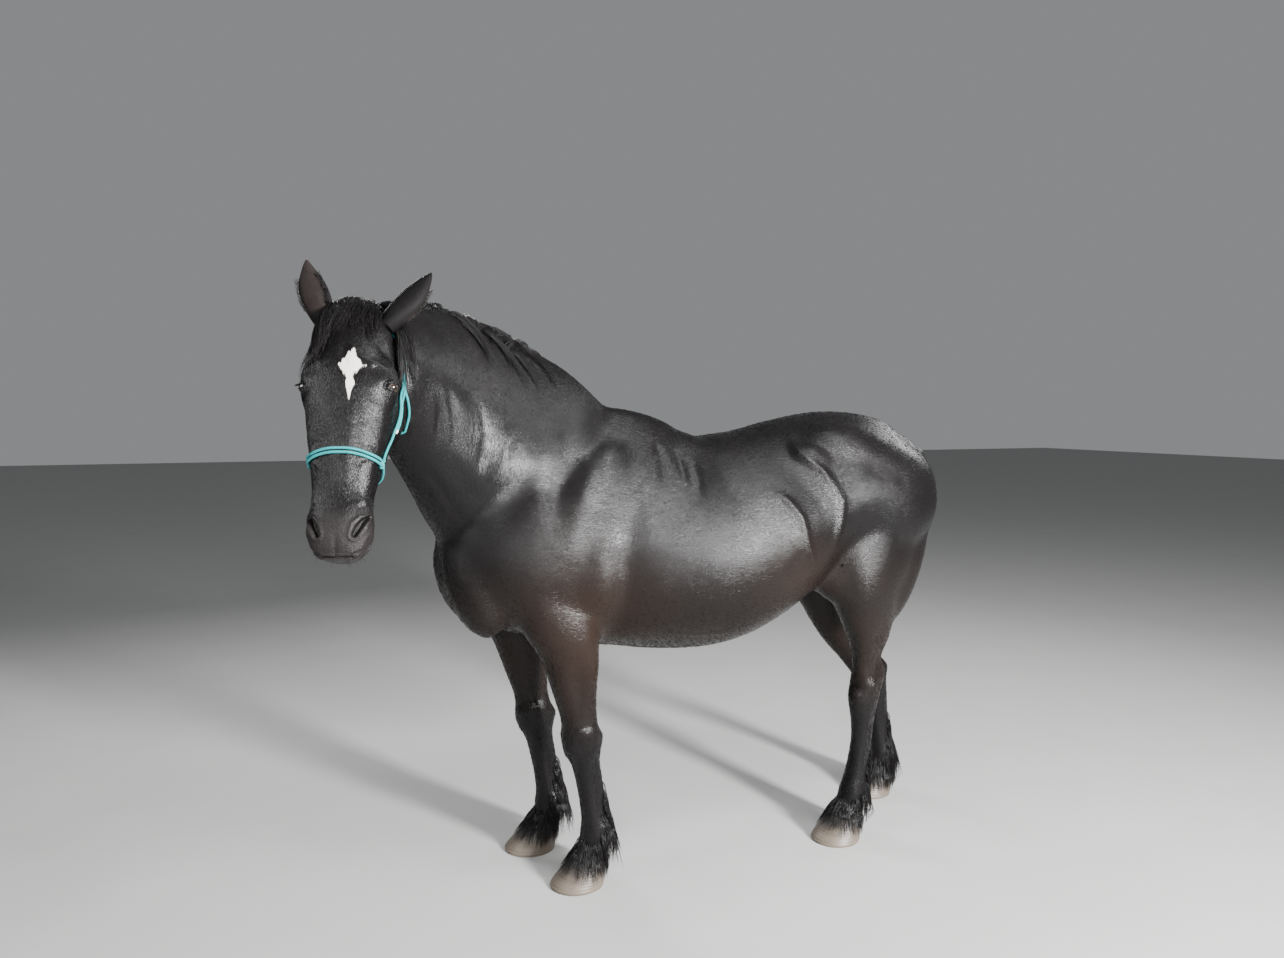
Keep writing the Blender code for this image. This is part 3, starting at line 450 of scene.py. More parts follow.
# x and y of a leg's middle line at a height
def atHeight(places, height):
    for (low, *a), (high, *b) in zip(places, places[1:]):
        if height <= high:
            break
    t = max(0.0, min(1.0, (height - low) / (high - low)))
    return [p + (q - p) * t for p, q in zip(a, b)]


def leg(name):
    rings, toeOut, places, drop = legShape["legs"][name]
    start, reach = legShape["sinks"]
    rows = []
    for height, width, front, back in rings:
        z = height - drop * math.sin(math.pi * min(1.0, max(0.0, (height - start) / reach)))
        rows.append((*atHeight(places, z), z, width, front, back, 0.0, 2.0))
    turn = math.radians(toeOut)
    return loft(name, rows, Vector((math.sin(turn), -math.cos(turn), 0)), sides=32)


# the big forms above the legs, as on the head
bodyForms = (
    ("shoulder", (0.12, -0.46, 1.5), (0.215, -0.86, 1.04), 0.15, 0.105, (1, -0.3, 0.2), 1.1),
    ("triceps", (0.215, -0.52, 1.3), (0.225, -0.6, 0.94), 0.155, 0.085, (1, 0, 0), 1.0),
    ("breast", (0.09, -1.03, 1.22), (0.14, -0.91, 0.88), 0.105, 0.09, (0.3, -1, 0), 1.0),
    ("arm", (0.165, -0.9, 1.2), (0.195, -0.66, 0.86), 0.09, 0.085, (1, -0.5, 0), 1.0),
    ("hip", (0.2, 0.18, 1.5), (0.25, 0.34, 1.38), 0.07, 0.06, (1, -0.2, 0.6), 1.0),
    ("croup", (0.12, 0.2, 1.52), (0.2, 0.8, 1.36), 0.17, 0.13, (0.8, 0, 1), 1.0),
    ("flank", (0.245, 0.3, 1.38), (0.23, 0.35, 1.04), 0.066, 0.06, (1, 0, 0), 1.0),
)


# the big muscles above one hind leg, whose hock stands further back by rear
def thigh(name, side, rear):
    hip, stifle = (side * 0.17, 0.66, 1.48), (side * 0.215, 0.42 + rear * 0.3, 0.98)
    seat, gaskin = (side * 0.12, 0.775, 1.36), (side * 0.165, 0.6 + rear * 0.6, 0.82)
    flank, knee = (side * 0.205, 0.36 + rear * 0.2, 1.12), (side * 0.2, 0.4 + rear * 0.4, 0.92)
    return [
        muscle(name, hip, stifle, 0.17, 0.12, (side, 0, 0), 1.1),
        muscle(name, seat, gaskin, 0.1, 0.1, (side, 0.4, 0), 1.05),
        muscle(name, flank, knee, 0.1, 0.08, (side, -0.3, 0)),
    ]


# the legs and the head keep their form, the trunk is blended most, and so is the poll into the
# neck
def bodySoftness(point):
    legs = min(1.0, max(0.1, (point.z - 0.58) / 0.4))
    head = min(1.0, max(0.12, (fromHead(point) - 0.36) / 0.25))
    join = max(0.0, 0.6 - fromHead(point, (0, -0.17, -0.09)) / 0.22)
    return min(legs, max(head, join))


def nearHead(point):
    return fromHead(point) < 0.42


skinShape = {
    "voxel": 0.008,
    "rounds": 70,
    "neckBaseRounds": 60,
    "bodyRelief": 0.5,
    "triangles": 66000,
    "inwards": 0.0018,
    # how far from the eyes and from the muzzle's lines the mesh is finer
    "eyeReach": 0.044,
    "fineReach": 0.02448,
    "hoofCut": 0.07,
}
# furrows (negative) and ridges (positive) on both sides of the body: width, height, where it runs
bodyLines = (
    (0.026, -0.008, ((0.15, -1.05, 1.26), (0.14, -1.047, 1.16), (0.17, -1.04, 1.06), (0.21, -0.967, 0.96))),
    (0.03, -0.006, ((0.21, -0.798, 1.42), (0.22, -0.849, 1.35), (0.24, -0.897, 1.27), (0.25, -0.917, 1.18))),
    (0.04, 0.006, ((0.1, -0.664, 1.66), (0.17, -0.723, 1.55), (0.21, -0.76, 1.44), (0.25, -0.845, 1.25))),
    (0.036, -0.006, ((0.13, -0.64, 1.6), (0.2, -0.674, 1.46), (0.25, -0.713, 1.33), (0.29, -0.753, 1.19))),
    (0.036, 0.005, ((0.15, -0.59, 1.54), (0.23, -0.61, 1.41), (0.28, -0.655, 1.27), (0.29, -0.705, 1.14))),
    (0.046, -0.01, ((0.23, -0.43, 1.4), (0.29, -0.478, 1.28), (0.31, -0.5, 1.14),
                     (0.28, -0.505, 1.0), (0.23, -0.5, 0.9))),
    (0.044, 0.007, ((0.28, -0.56, 1.24), (0.3, -0.57, 1.12), (0.29, -0.56, 1.02))),
    (0.018, -0.005, ((0.27, -0.74, 1.03), (0.28, -0.66, 0.98), (0.27, -0.59, 0.96))),
    (0.024, 0.008, ((0.24, -0.545, 0.94), (0.22, -0.55, 0.88))),
    (0.013, -0.007, ((0.12, -0.323, 1.53), (0.18, -0.321, 1.46), (0.23, -0.335, 1.39))),
    (0.013, -0.007, ((0.14, -0.259, 1.5), (0.19, -0.25, 1.44), (0.24, -0.257, 1.39))),
    (0.013, -0.006, ((0.17, -0.203, 1.47), (0.24, -0.208, 1.4), (0.29, -0.224, 1.33))),
    (0.016, 0.02, ((0.14, 0.195, 1.56), (0.24, 0.185, 1.48), (0.29, 0.253, 1.42),
                    (0.34, 0.3, 1.32), (0.36, 0.281, 1.16), (0.34, 0.269, 1.05))),
    (0.05, -0.007, ((0.22, 0.11, 1.47), (0.3, 0.165, 1.38), (0.36, 0.225, 1.27), (0.37, 0.225, 1.15))),
    (0.015, 0.018, ((0.31, 0.022, 1.36), (0.34, 0.08, 1.33), (0.37, 0.123, 1.27),
                    (0.38, 0.145, 1.17), (0.35, 0.215, 1.03))),
    (0.04, -0.003, ((0.22, -0.01, 1.47), (0.27, 0.06, 1.43))),
    (0.02, -0.007, ((0.22, 0.56, 1.53), (0.31, 0.57, 1.38), (0.31, 0.575, 1.2), (0.27, 0.56, 1.03))),
    (0.022, -0.005, ((0.33, 0.4, 1.3), (0.33, 0.43, 1.17), (0.3, 0.46, 1.02))),
    (0.02, -0.007, ((0.16, 0.7, 1.44), (0.21, 0.72, 1.28), (0.21, 0.7, 1.1))),
    (0.03, 0.006, ((0.2, 0.64, 1.42), (0.27, 0.65, 1.25), (0.25, 0.64, 1.08))),
    (0.018, -0.005, ((0.35, 0.285, 1.1), (0.29, 0.379, 0.98), (0.27, 0.424, 0.94))),
    (0.016, -0.0014, ((0.3, -0.377, 1.27), (0.34, -0.363, 1.11), (0.31, -0.363, 0.97))),
    (0.016, -0.0014, ((0.32, -0.274, 1.27), (0.36, -0.257, 1.11), (0.32, -0.246, 0.95))),
    (0.016, -0.0012, ((0.34, -0.172, 1.27), (0.38, -0.147, 1.12), (0.34, -0.137, 0.96))),
    (0.016, -0.001, ((0.35, -0.068, 1.27), (0.39, -0.038, 1.15), (0.37, -0.042, 1.01))),
    (0.009, 0.0035, ((0.2, -0.44, 0.84), (0.26, -0.32, 0.86), (0.27, -0.15, 0.86), (0.22, 0.02, 0.86))),
    (0.02, -0.01, ((0.0, -1.06, 1.15), (0.0, -1.01, 1.0), (0.0, -0.9, 0.88))),
    (0.016, -0.006, ((0.0, 0.3, 1.64), (0.0, 0.5, 1.64), (0.0, 0.68, 1.59))),
    (0.03, -0.006, ((0.0, -0.15, 1.565), (0.0, 0.1, 1.585))),
    (0.016, -0.007, ((0.24, -1.14, 1.46), (0.21, -1.089, 1.39), (0.19, -1.04, 1.31), (0.19, -0.99, 1.24))),
)
# the same, on the neck's left and right sides, where it bends
neckLines = (
    (0.013, -0.006, ((0.29, -1.12, 1.72), (0.29, -1.1, 1.62), (0.27, -1.1, 1.53))),
    (0.013, -0.004, ((0.28, -1.066, 1.7), (0.26, -1.049, 1.6), (0.24, -1.063, 1.49))),
    (0.014, -0.0055, ((0.21, -0.959, 1.67), (0.22, -0.94, 1.55), (0.22, -0.97, 1.43))),
    (0.014, -0.005, ((0.16, -0.867, 1.67), (0.2, -0.854, 1.55), (0.21, -0.898, 1.43))),
    (0.03, 0.006, ((0.25, -1.15, 1.62), (0.22, -1.03, 1.5), (0.22, -0.92, 1.36))),
    (0.03, -0.005, ((0.22, -1.08, 1.74), (0.16, -0.93, 1.68), (0.12, -0.79, 1.62))),
    (0.02, -0.006, ((0.02, -1.15, 1.5), (0.0, -1.1, 1.42), (-0.02, -1.07, 1.34))),
)
# in head space, on both sides of the head
headLines = (
    (0.011, 0.0036, ((0.106, 0.004, -0.28), (0.098, 0.0, -0.34), (0.088, -0.006, -0.42))),
    (0.01, -0.0035, ((0.11, -0.016, -0.3), (0.1, -0.02, -0.36), (0.088, -0.026, -0.43))),
    (0.024, -0.005, ((0.082, 0.045, -0.3), (0.078, 0.042, -0.37), (0.07, 0.04, -0.44))),
    (0.014, -0.0016, ((0.052, 0.072, -0.33), (0.047, 0.064, -0.44), (0.042, 0.055, -0.55))),
    (0.012, 0.001, ((0.03, 0.086, -0.28), (0.026, 0.074, -0.4), (0.024, 0.06, -0.55))),
    (0.02, -0.009, ((0.082, 0.055, -0.105), (0.092, 0.05, -0.135), (0.098, 0.04, -0.165))),
    (0.011, 0.004, ((0.06, 0.08, -0.18), (0.085, 0.068, -0.188), (0.112, 0.046, -0.205))),
    (0.01, -0.003, ((0.092, 0.052, -0.262), (0.106, 0.034, -0.276), (0.116, 0.012, -0.272))),
    (0.004, 0.002, ((0.086, -0.05, -0.47), (0.092, -0.03, -0.44), (0.096, -0.012, -0.4),
                     (0.1, 0.01, -0.37))),
    (0.004, 0.0018, ((0.092, -0.03, -0.44), (0.08, 0.02, -0.44), (0.062, 0.05, -0.46),
                     (0.05, 0.058, -0.5))),
    (0.004, 0.0016, ((0.118, -0.06, -0.3), (0.116, -0.035, -0.33), (0.104, -0.012, -0.345))),
    (0.004, 0.0015, ((0.084, -0.02, -0.47), (0.08, 0.01, -0.51), (0.076, 0.02, -0.56))),
    (0.018, -0.004, ((0.1, -0.07, -0.44), (0.112, -0.04, -0.38), (0.118, -0.03, -0.32))),
    (0.016, 0.005, ((0.112, -0.11, -0.39), (0.12, -0.15, -0.33), (0.118, -0.18, -0.26),
                     (0.1, -0.19, -0.18))),
    (0.018, -0.007, ((0.1, -0.215, -0.15), (0.11, -0.215, -0.23), (0.1, -0.21, -0.31))),
    (0.012, -0.004, ((0.05, -0.11, -0.63), (0.03, -0.12, -0.625), (0.0, -0.124, -0.622))),
    (0.01, -0.003, ((0.082, -0.04, -0.585), (0.086, -0.02, -0.555), (0.084, 0.01, -0.53))),
    (0.009, -0.0025, ((0.074, 0.02, -0.565), (0.06, 0.048, -0.58), (0.045, 0.06, -0.6))),
    (0.007, -0.002, ((0.0, 0.044, -0.64), (0.0, 0.036, -0.68), (0.0, 0.01, -0.716))),
    (0.014, 0.003, ((0.03, 0.03, -0.69), (0.05, 0.01, -0.695), (0.066, -0.02, -0.672))),
    (0.012, -0.003, ((0.0, 0.098, -0.13), (0.0, 0.096, -0.19))),
    (0.026, 0.006, ((0.082, -0.01, -0.045), (0.1, -0.03, -0.08))),
)
# on each front leg: angle from the toe outwards, height, reach of both, lift
foreMarks = (
    (10, 0.5, 34, 0.03, 0.006),
    (-30, 0.53, 24, 0.016, 0.004),
    (35, 0.478, 22, 0.014, 0.004),
    (-20, 0.465, 24, 0.014, 0.003),
    (180, 0.512, 26, 0.026, 0.014),
    (90, 0.545, 30, 0.018, 0.005),
    (-90, 0.545, 30, 0.018, 0.005),
    (60, 0.5, 16, 0.022, -0.003),
    (0, 0.34, 20, 0.09, 0.003),
    (118, 0.33, 16, 0.085, -0.006),
    (-118, 0.33, 16, 0.085, -0.006),
    (180, 0.33, 26, 0.1, 0.004),
    (140, 0.185, 24, 0.02, 0.006),
    (-140, 0.185, 24, 0.02, 0.006),
    (180, 0.135, 34, 0.018, -0.008),
    (0, 0.185, 36, 0.018, 0.004),
    (28, 0.72, 26, 0.08, 0.006),
    (75, 0.7, 18, 0.09, -0.006),
    (120, 0.76, 28, 0.07, 0.006),
    (-100, 0.7, 20, 0.08, -0.004),
    (-84, 0.605, 11, 0.024, 0.005),
)
# the same on each hind leg
hindMarks = (
    (180, 0.632, 22, 0.03, 0.01),
    (125, 0.69, 20, 0.05, -0.014),
    (-125, 0.69, 20, 0.05, -0.014),
    (90, 0.585, 26, 0.02, 0.006),
    (-90, 0.57, 26, 0.024, 0.007),
    (130, 0.585, 20, 0.03, -0.006),
    (-130, 0.585, 20, 0.03, -0.006),
    (0, 0.59, 34, 0.022, -0.006),
    (15, 0.54, 34, 0.022, 0.005),
    (0, 0.38, 20, 0.09, 0.003),
    (115, 0.37, 16, 0.09, -0.006),
    (-115, 0.37, 16, 0.09, -0.006),
    (180, 0.38, 24, 0.11, 0.004),
    (140, 0.185, 24, 0.02, 0.006),
    (-140, 0.185, 24, 0.02, 0.006),
    (180, 0.135, 34, 0.018, -0.008),
    (30, 0.78, 28, 0.07, 0.006),
    (85, 0.78, 18, 0.07, -0.005),
    (-88, 0.515, 11, 0.02, 0.004),
)


# a number or a vector of each of the object's points
def pointValues(obj, key, size=3, layer=None):
    values = np.empty(len(obj.data.vertices) * size)
    (layer or obj.data.vertices).foreach_get(key, values)
    return values.reshape(-1, 3) if size == 3 else values


def coordinates(obj):
    return pointValues(obj, "co")


def normals(obj):
    return pointValues(obj, "normal")


def setCoordinates(obj, points):
    obj.data.vertices.foreach_set("co", points.ravel())
    obj.data.update()


# keeps one number or vector for each point under a name that materials read
def store(obj, name, values):
    kind, key = ("FLOAT", "value") if values.ndim == 1 else ("FLOAT_VECTOR", "vector")
    layer = obj.data.attributes.new(name, kind, "POINT")
    layer.data.foreach_set(key, values.astype(np.float32).ravel())


def stored(obj, name):
    return pointValues(obj, "value", 1, obj.data.attributes[name].data)


def inHead(points):
    turn = np.array(headMatrix().inverted())
    return points @ turn[:3, :3].T + turn[:3, 3]


def ramp(values, low, high):
    share = np.clip((values - low) / (high - low), 0, 1)
    return share * share * (3 - 2 * share)


# 1 at the middle, falling off on both sides
def bell(values, middle, spread):
    return np.exp(-(((values - middle) / spread) ** 2))


# 1 at the centre, falling off all round by the reach each way
def cloud(points, centre, reach):
    return bell(np.linalg.norm((points - centre) / reach, axis=1), 0, 1)


# how far each point is from a line, and how far along the line it lies, from 0 to 1
def fromLine(points, line):
    line = np.array(line, float)
    lengths = np.linalg.norm(np.diff(line, axis=0), axis=1)
    before = np.concatenate(([0], np.cumsum(lengths)))
    best = np.full(len(points), 1e9)
    place = np.zeros(len(points))
    for k, length in enumerate(lengths):
        way = (line[k + 1] - line[k]) / length
        along = np.clip((points - line[k]) @ way, 0, length)
        away = np.linalg.norm(points - line[k] - along[:, None] * way, axis=1)
        nearer = away < best
        best = np.where(nearer, away, best)
        place = np.where(nearer, (before[k] + along) / before[-1], place)
    return best, place


# how far each point moves out for a set of furrows and ridges
def lineRelief(points, rows):
    moves = np.zeros(len(points))
    for width, height, line in rows:
        for side in (1, -1):
            flipped = np.array(line) * (side, 1, 1)
            low, high = flipped.min(0) - 3 * width, flipped.max(0) + 3 * width
            near = np.where(((points > low) & (points < high)).all(1))[0]
            if not len(near) or (side < 0 and not np.abs(flipped[:, 0]).any()):
                continue
            away, place = fromLine(points[near], flipped)
            fade = np.minimum(1, 0.25 + 3 * np.minimum(place, 1 - place))
            moves[near] += height * fade * bell(away, 0, width)
    return moves


# the angle from the toe outwards in degrees and the height as if the hock were not sunk
def inLeg(points, name):
    _, toeOut, places, drop = legShape["legs"][name]
    heights = points[:, 2]
    level = [row[0] for row in places]
    x = np.interp(heights, level, [row[1] for row in places])
    y = np.interp(heights, level, [row[2] for row in places])
    toe = math.radians(toeOut)
    side = 1 if places[0][1] > 0 else -1
    forward = (points[:, 0] - x) * math.sin(toe) - (points[:, 1] - y) * math.cos(toe)
    outward = ((points[:, 0] - x) * math.cos(toe) + (points[:, 1] - y) * math.sin(toe)) * side
    raised = heights + drop * np.sin(math.pi * np.clip((heights - 0.16) / 0.8, 0, 1))
    return np.degrees(np.arctan2(outward, forward)), raised, np.hypot(points[:, 0] - x, points[:, 1] - y)


def legRelief(points, name):
    marks = foreMarks if "front" in name else hindMarks
    side = 1 if "left" in name else -1
    angle, height, away = inLeg(points, name)
    mine = (away < 0.16) & (points[:, 2] < 0.9) & (points[:, 0] * side > 0)
    mine &= (points[:, 1] < 0) if "front" in name else (points[:, 1] > 0)
    moves = np.zeros(len(points))
    for turn, middle, spread, reach, lift in marks:
        apart = np.abs((angle - turn + 180) % 360 - 180)
        moves += lift * np.exp(-((apart / spread) ** 2) - ((height - middle) / reach) ** 2)
    return moves * mine


eyeShape = {
    "place": (0.02, -0.234),
    "radius": 0.022,
    "sunk": 0.0205,
    "bulge": 0.035,
    "gaze": (0.9, 0.42, 0.0),
    # the lids: half length of the opening, its reach up and down, and their thickness
    "half": 0.0185,
    "upper": 0.0064,
    "lower": 0.0052,
    "lid": 0.0024,
    # height, place and spread of the folds over and under the eye and of the lids' rolled edge
    "foldOver": (-0.0022, 1.75, 0.16),
    "foldUnder": (-0.0012, 1.8, 0.14),
    "roll": (0.0009, 1.14, 0.12),
    "blend": (1.35, 2.7),
    "reach": 0.05,
}
eyeFrames = {}


# where a sideways line in head space at y and z meets the head, and that line's direction
def surfaceSpot(tree, side, y, z):
    place = headMatrix()
    start = place @ Vector((side * 0.3, y, z))
    way = (place.to_3x3() @ Vector((-side, 0, 0))).normalized()
    return tree.ray_cast(start, way)[0], way


# the middle of each eyeball and the ways along its lids, up over them and out of it
def findEyes(tree):
    turn = headMatrix().to_3x3()
    for side, word in ((1, "left"), (-1, "right")):
        spot, way = surfaceSpot(tree, side, *eyeShape["place"])
        gaze = Vector(eyeShape["gaze"])
        out = (turn @ Vector((side * gaze.x, gaze.y, gaze.z))).normalized()
        up = turn @ Vector((0, 0.3, 1))
        up = (up - out * up.dot(out)).normalized()
        along = up.cross(out) * side
        middle = spot + way * eyeShape["sunk"]
        eyeFrames[word] = tuple(np.array(value) for value in (middle, along, up, out))


# lays the lids round both eyeballs
def shapeLids(points):
    rim = np.zeros(len(points))
    for middle, along, up, out in eyeFrames.values():
        away = points - middle
        u, v, w = away @ along, away @ up, away @ out
        near = (np.linalg.norm(away, axis=1) < eyeShape["reach"]) & (w > -0.004)
        half = np.where(v > 0, eyeShape["upper"], eyeShape["lower"]) * (1 - 0.18 * u / eyeShape["half"])
        ring = np.sqrt((u / eyeShape["half"]) ** 2 + (v / half) ** 2)
        flat = np.hypot(u, v)
        ball = np.sqrt(np.maximum(0, eyeShape["radius"] ** 2 - flat ** 2))
        lidTop = np.sqrt(np.maximum(0, (eyeShape["radius"] + eyeShape["lid"]) ** 2 - flat ** 2))
        over, under, roll = (
            height * bell(ring, *where)
            for height, *where in (eyeShape[key] for key in ("foldOver", "foldUnder", "roll"))
        )
        fold = over * (v > -0.002) + under * (v <= -0.002)
        wanted = np.where(ring < 1.0, ball - 0.007, lidTop + fold + roll)
        share = 1 - ramp(ring, *eyeShape["blend"])
        moved = points + out * ((wanted - w) * share)[:, None]
        points = np.where(near[:, None], moved, points)
        rim = np.maximum(rim, near * bell(ring, 1.0, 0.16))
    return points, rim


mouthShape = {
    "nostril": (
        (0.08, 0.02, -0.598),
        (0.07, 0.036, -0.612),
        (0.06, 0.046, -0.63),
        (0.051, 0.048, -0.65),
    ),
    "nostrilWidths": (0.0045, 0.0085, 0.011, 0.008),
    "nostrilDepth": 0.013,
    "collar": 0.0022,
    "lips": (
        (0.086, -0.066, -0.6),
        (0.083, -0.048, -0.64),
        (0.066, -0.022, -0.68),
        (0.034, 0.006, -0.697),
        (0.0, 0.014, -0.701),
    ),
    "lipDepth": 0.006,
    "lipWidth": 0.0034,
    "lipRoll": 0.0016,
    # how far the lower lip lies back under the upper one
    "setBack": 0.006,
}


# the corners of a line on one side of the muzzle
def muzzleLine(key, side):
    return [headMatrix() @ Vector((side * x, y, z)) for x, y, z in mouthShape[key]]


# the nostrils and the line between the lips; gives how much painted shade each point gets, darkening the
# nostril holes and the crease between the lips
def shapeMuzzle(points, out, tree):
    def onSkin(key, side):
        return [tree.find_nearest(corner)[0] for corner in muzzleLine(key, side)]

    recessShade = np.zeros(len(points))
    for side in (1, -1):
        away, place = fromLine(points, onSkin("nostril", side))
        width = np.interp(place, np.linspace(0, 1, 4), mouthShape["nostrilWidths"])
        depth = 1 - ramp(away, width * 0.35, width * 1.25)
        collar = mouthShape["collar"] * bell(away, width * 1.9, width * 0.55)
        points = points + out * (collar - mouthShape["nostrilDepth"] * depth)[:, None]
        recessShade = np.maximum(recessShade, depth ** 1.5)
    away, place = fromLine(points, onSkin("lips", 1) + onSkin("lips", -1)[::-1][1:])
    cut = bell(away, 0, mouthShape["lipWidth"])
    roll = bell(away, 0.009, 0.005)
    inside = inHead(points)
    line = np.array(mouthShape["lips"])
    under = np.interp(np.abs(inside[:, 0]), line[::-1, 0], line[::-1, 2]) - inside[:, 2]
    lower = ramp(under, 0.0, 0.006) * ramp(-inside[:, 2], 0.63, 0.67) * ramp(inside[:, 1], -0.09, -0.04)
    moves = mouthShape["lipRoll"] * roll - mouthShape["lipDepth"] * cut - mouthShape["setBack"] * lower
    return points + out * moves[:, None], np.maximum(recessShade, cut ** 2)


# splits the faces where the function is true into finer ones and evens them out
def refined(obj, wanted, rounds):
    with changed(obj) as shape:
        inside = [face for face in shape.faces if wanted(face.calc_center_median())]
        edges = list({edge for face in inside for edge in face.edges})
        made = bmesh.ops.subdivide_edges(shape, edges=edges, cuts=1, use_grid_fill=True)
        fresh = [item for item in made["geom_inner"] if isinstance(item, bmesh.types.BMVert)]
        fresh += [vertex for edge in edges if edge.is_valid for vertex in edge.verts]
        fresh = list(set(fresh))
        axes = {"use_axis_" + axis: True for axis in "xyz"}
        for _ in range(rounds):
            bmesh.ops.smooth_vert(shape, verts=fresh, factor=0.4, **axes)
        bmesh.ops.triangulate(shape, faces=shape.faces)
    return obj


# true on the head itself, from the poll to the lips
def onFace(point):
    x, y, z = headMatrix().inverted() @ point
    return abs(x) < 0.155 and y > -0.235 and -0.78 < z < 0.01 and z - y < 0.16


# true round the eyes, the nostrils and the lips
def fineParts():
    lines = [muzzleLine(key, side) for side in (1, -1) for key in ("nostril", "lips")]
    corners = [corner for line in lines for corner in line]
    spots = [(corner, skinShape["fineReach"]) for corner in corners]
    spots += [(Vector(middle), skinShape["eyeReach"]) for middle, *_ in eyeFrames.values()]
    return lambda point: any((point - spot).length < reach for spot, reach in spots)


# how much the meeting of neck and shoulder is evened out there
def neckBase(point):
    away = (Vector((0.8 * abs(point.x), point.y, 0.8 * point.z)) - Vector((0.19, -0.86, 1.06))).length
    return 0.8 * max(0.0, min(1.0, (0.36 - away) / 0.12))


def makeSkin():
    parts = [trunk(), neck(), head()] + [leg(name) for name in legShape["legs"]]
    parts += bothSides(bodyForms) + thigh("thigh", 1, 0.0) + thigh("thigh", -1, 0.25) + headMuscles()
    skin = smoothed(fused(joined("skin", parts), skinShape["voxel"]), skinShape["rounds"], bodySoftness)
    with changed(skin) as shape:
        low = [vertex for vertex in shape.verts if vertex.co.z < skinShape["hoofCut"]]
        bmesh.ops.delete(shape, geom=low, context="VERTS")
    smoothed(skin, skinShape["neckBaseRounds"], neckBase)
    points = coordinates(skin)
    moves = skinShape["bodyRelief"] * lineRelief(points, bodyLines) + lineRelief(points, neckLines)
    for name in legShape["legs"]:
        moves += legRelief(points, name)
    setCoordinates(skin, points + normals(skin) * moves[:, None])
    smoothed(skin, 3, lambda point: 0.7)
    thinned(skin, skinShape["triangles"], lambda point: not nearHead(point))
    refined(skin, onFace, 3)
    findEyes(surfaceTree(skin))
    refined(skin, fineParts(), 3)
    points = coordinates(skin) - normals(skin) * skinShape["inwards"]
    out = normals(skin)
    inside = inHead(points)
    onHead = np.linalg.norm(inside - headShape["middle"], axis=1) < 0.44
    points = points + out * (lineRelief(inside, headLines) * onHead)[:, None]
    points, recessShade = shapeMuzzle(points, out, surfaceTree(skin))
    points, rim = shapeLids(points)
    setCoordinates(skin, points)
    shadeSmooth(skin)
    # painted shade in the nostril holes and the crease between the lips
    store(skin, "inside", recessShade)
    store(skin, "lidRim", rim)
    markSkin(skin)
    return skin


# where each kind of coat grows and how the hair lies there
def coatPlaces(points):
    inside = inHead(points)
    headward = 1 - ramp(np.linalg.norm(inside - (0, -0.03, -0.32), axis=1), 0.36, 0.46)
    legward = 1 - ramp(points[:, 2], 0.72, 0.98)
    lift = points[:, 2] - 0.75 * (points[:, 1] + 0.8)
    neckward = ramp(lift, 1.36, 1.52) * (points[:, 1] < -0.3) * (1 - headward)
    return headward, legward, neckward


def markSkin(skin):
    points = coordinates(skin)
    inside = inHead(points)
    headward, legward, neckward = coatPlaces(points)
    store(skin, "onHead", headward)
    store(skin, "onLegs", legward * (1 - headward))
    store(skin, "onNeck", neckward)
    store(skin, "headPlace", inside)
    store(skin, "brown", brownness(points))
    store(skin, "muzzle", ramp(-inside[:, 2], 0.55, 0.66) * headward)


# where the black coat looks brown
coatBrown = {
    # level bands: middle height, where they start and end to fade, share
    "bands": ((0.88, 0.1, 0.34, 0.25), (0.7, 0.06, 0.24, 0.32)),
    # round patches on the left side: centre, reach, share
    "patches": (
        ((0.36, 0.16, 1.05), (0.3, 0.16, 0.14), 0.6),
        ((0.28, -0.62, 0.95), (0.3, 0.2, 0.2), 0.8),
    ),
}


# how brown the black coat looks at a place
def brownness(points):
    brown = np.zeros(len(points))
    for middle, start, end, share in coatBrown["bands"]:
        brown += share * (1 - ramp(np.abs(points[:, 2] - middle), start, end))
    for centre, reach, share in coatBrown["patches"]:
        brown += share * cloud(points, centre, reach)
    return np.clip(brown, 0, 1)


# one mesh from points and faces given as numbers, which is quick for many thousands
def meshFrom(name, points, faces):
    mesh = bpy.data.meshes.new(name)
    mesh.vertices.add(len(points))
    mesh.vertices.foreach_set("co", np.asarray(points, np.float32).ravel())
    sizes = np.concatenate([np.full(len(group), group.shape[1]) for group in faces])
    mesh.loops.add(int(sizes.sum()))
    corners = np.concatenate([group.ravel() for group in faces])
    mesh.loops.foreach_set("vertex_index", corners.astype(np.int32))
    mesh.polygons.add(len(sizes))
    mesh.polygons.foreach_set("loop_start", np.concatenate(([0], np.cumsum(sizes)[:-1])).astype(np.int32))
    mesh.update(calc_edges=True)
    return link(bpy.data.objects.new(name, mesh))


# where each part of the horse lies on its unwrap: x, y, width, height
unwrapPatches = {
    "head": (0.0, 0.0, 0.34, 0.48),
    "neck": (0.36, 0.0, 0.3, 0.48),
    "trunk": (0.0, 0.5, 1.0, 0.49),
    "leg": (0.68, 0.0, 0.078, 0.48),
}


def onPatch(name, across, up):
    x, y, wide, high = unwrapPatches[name]
    return np.stack((x + across * wide, y + up * high), 1)


def roundTurn(x, y):
    return 0.5 + np.arctan2(x, y) / (2 * math.pi)


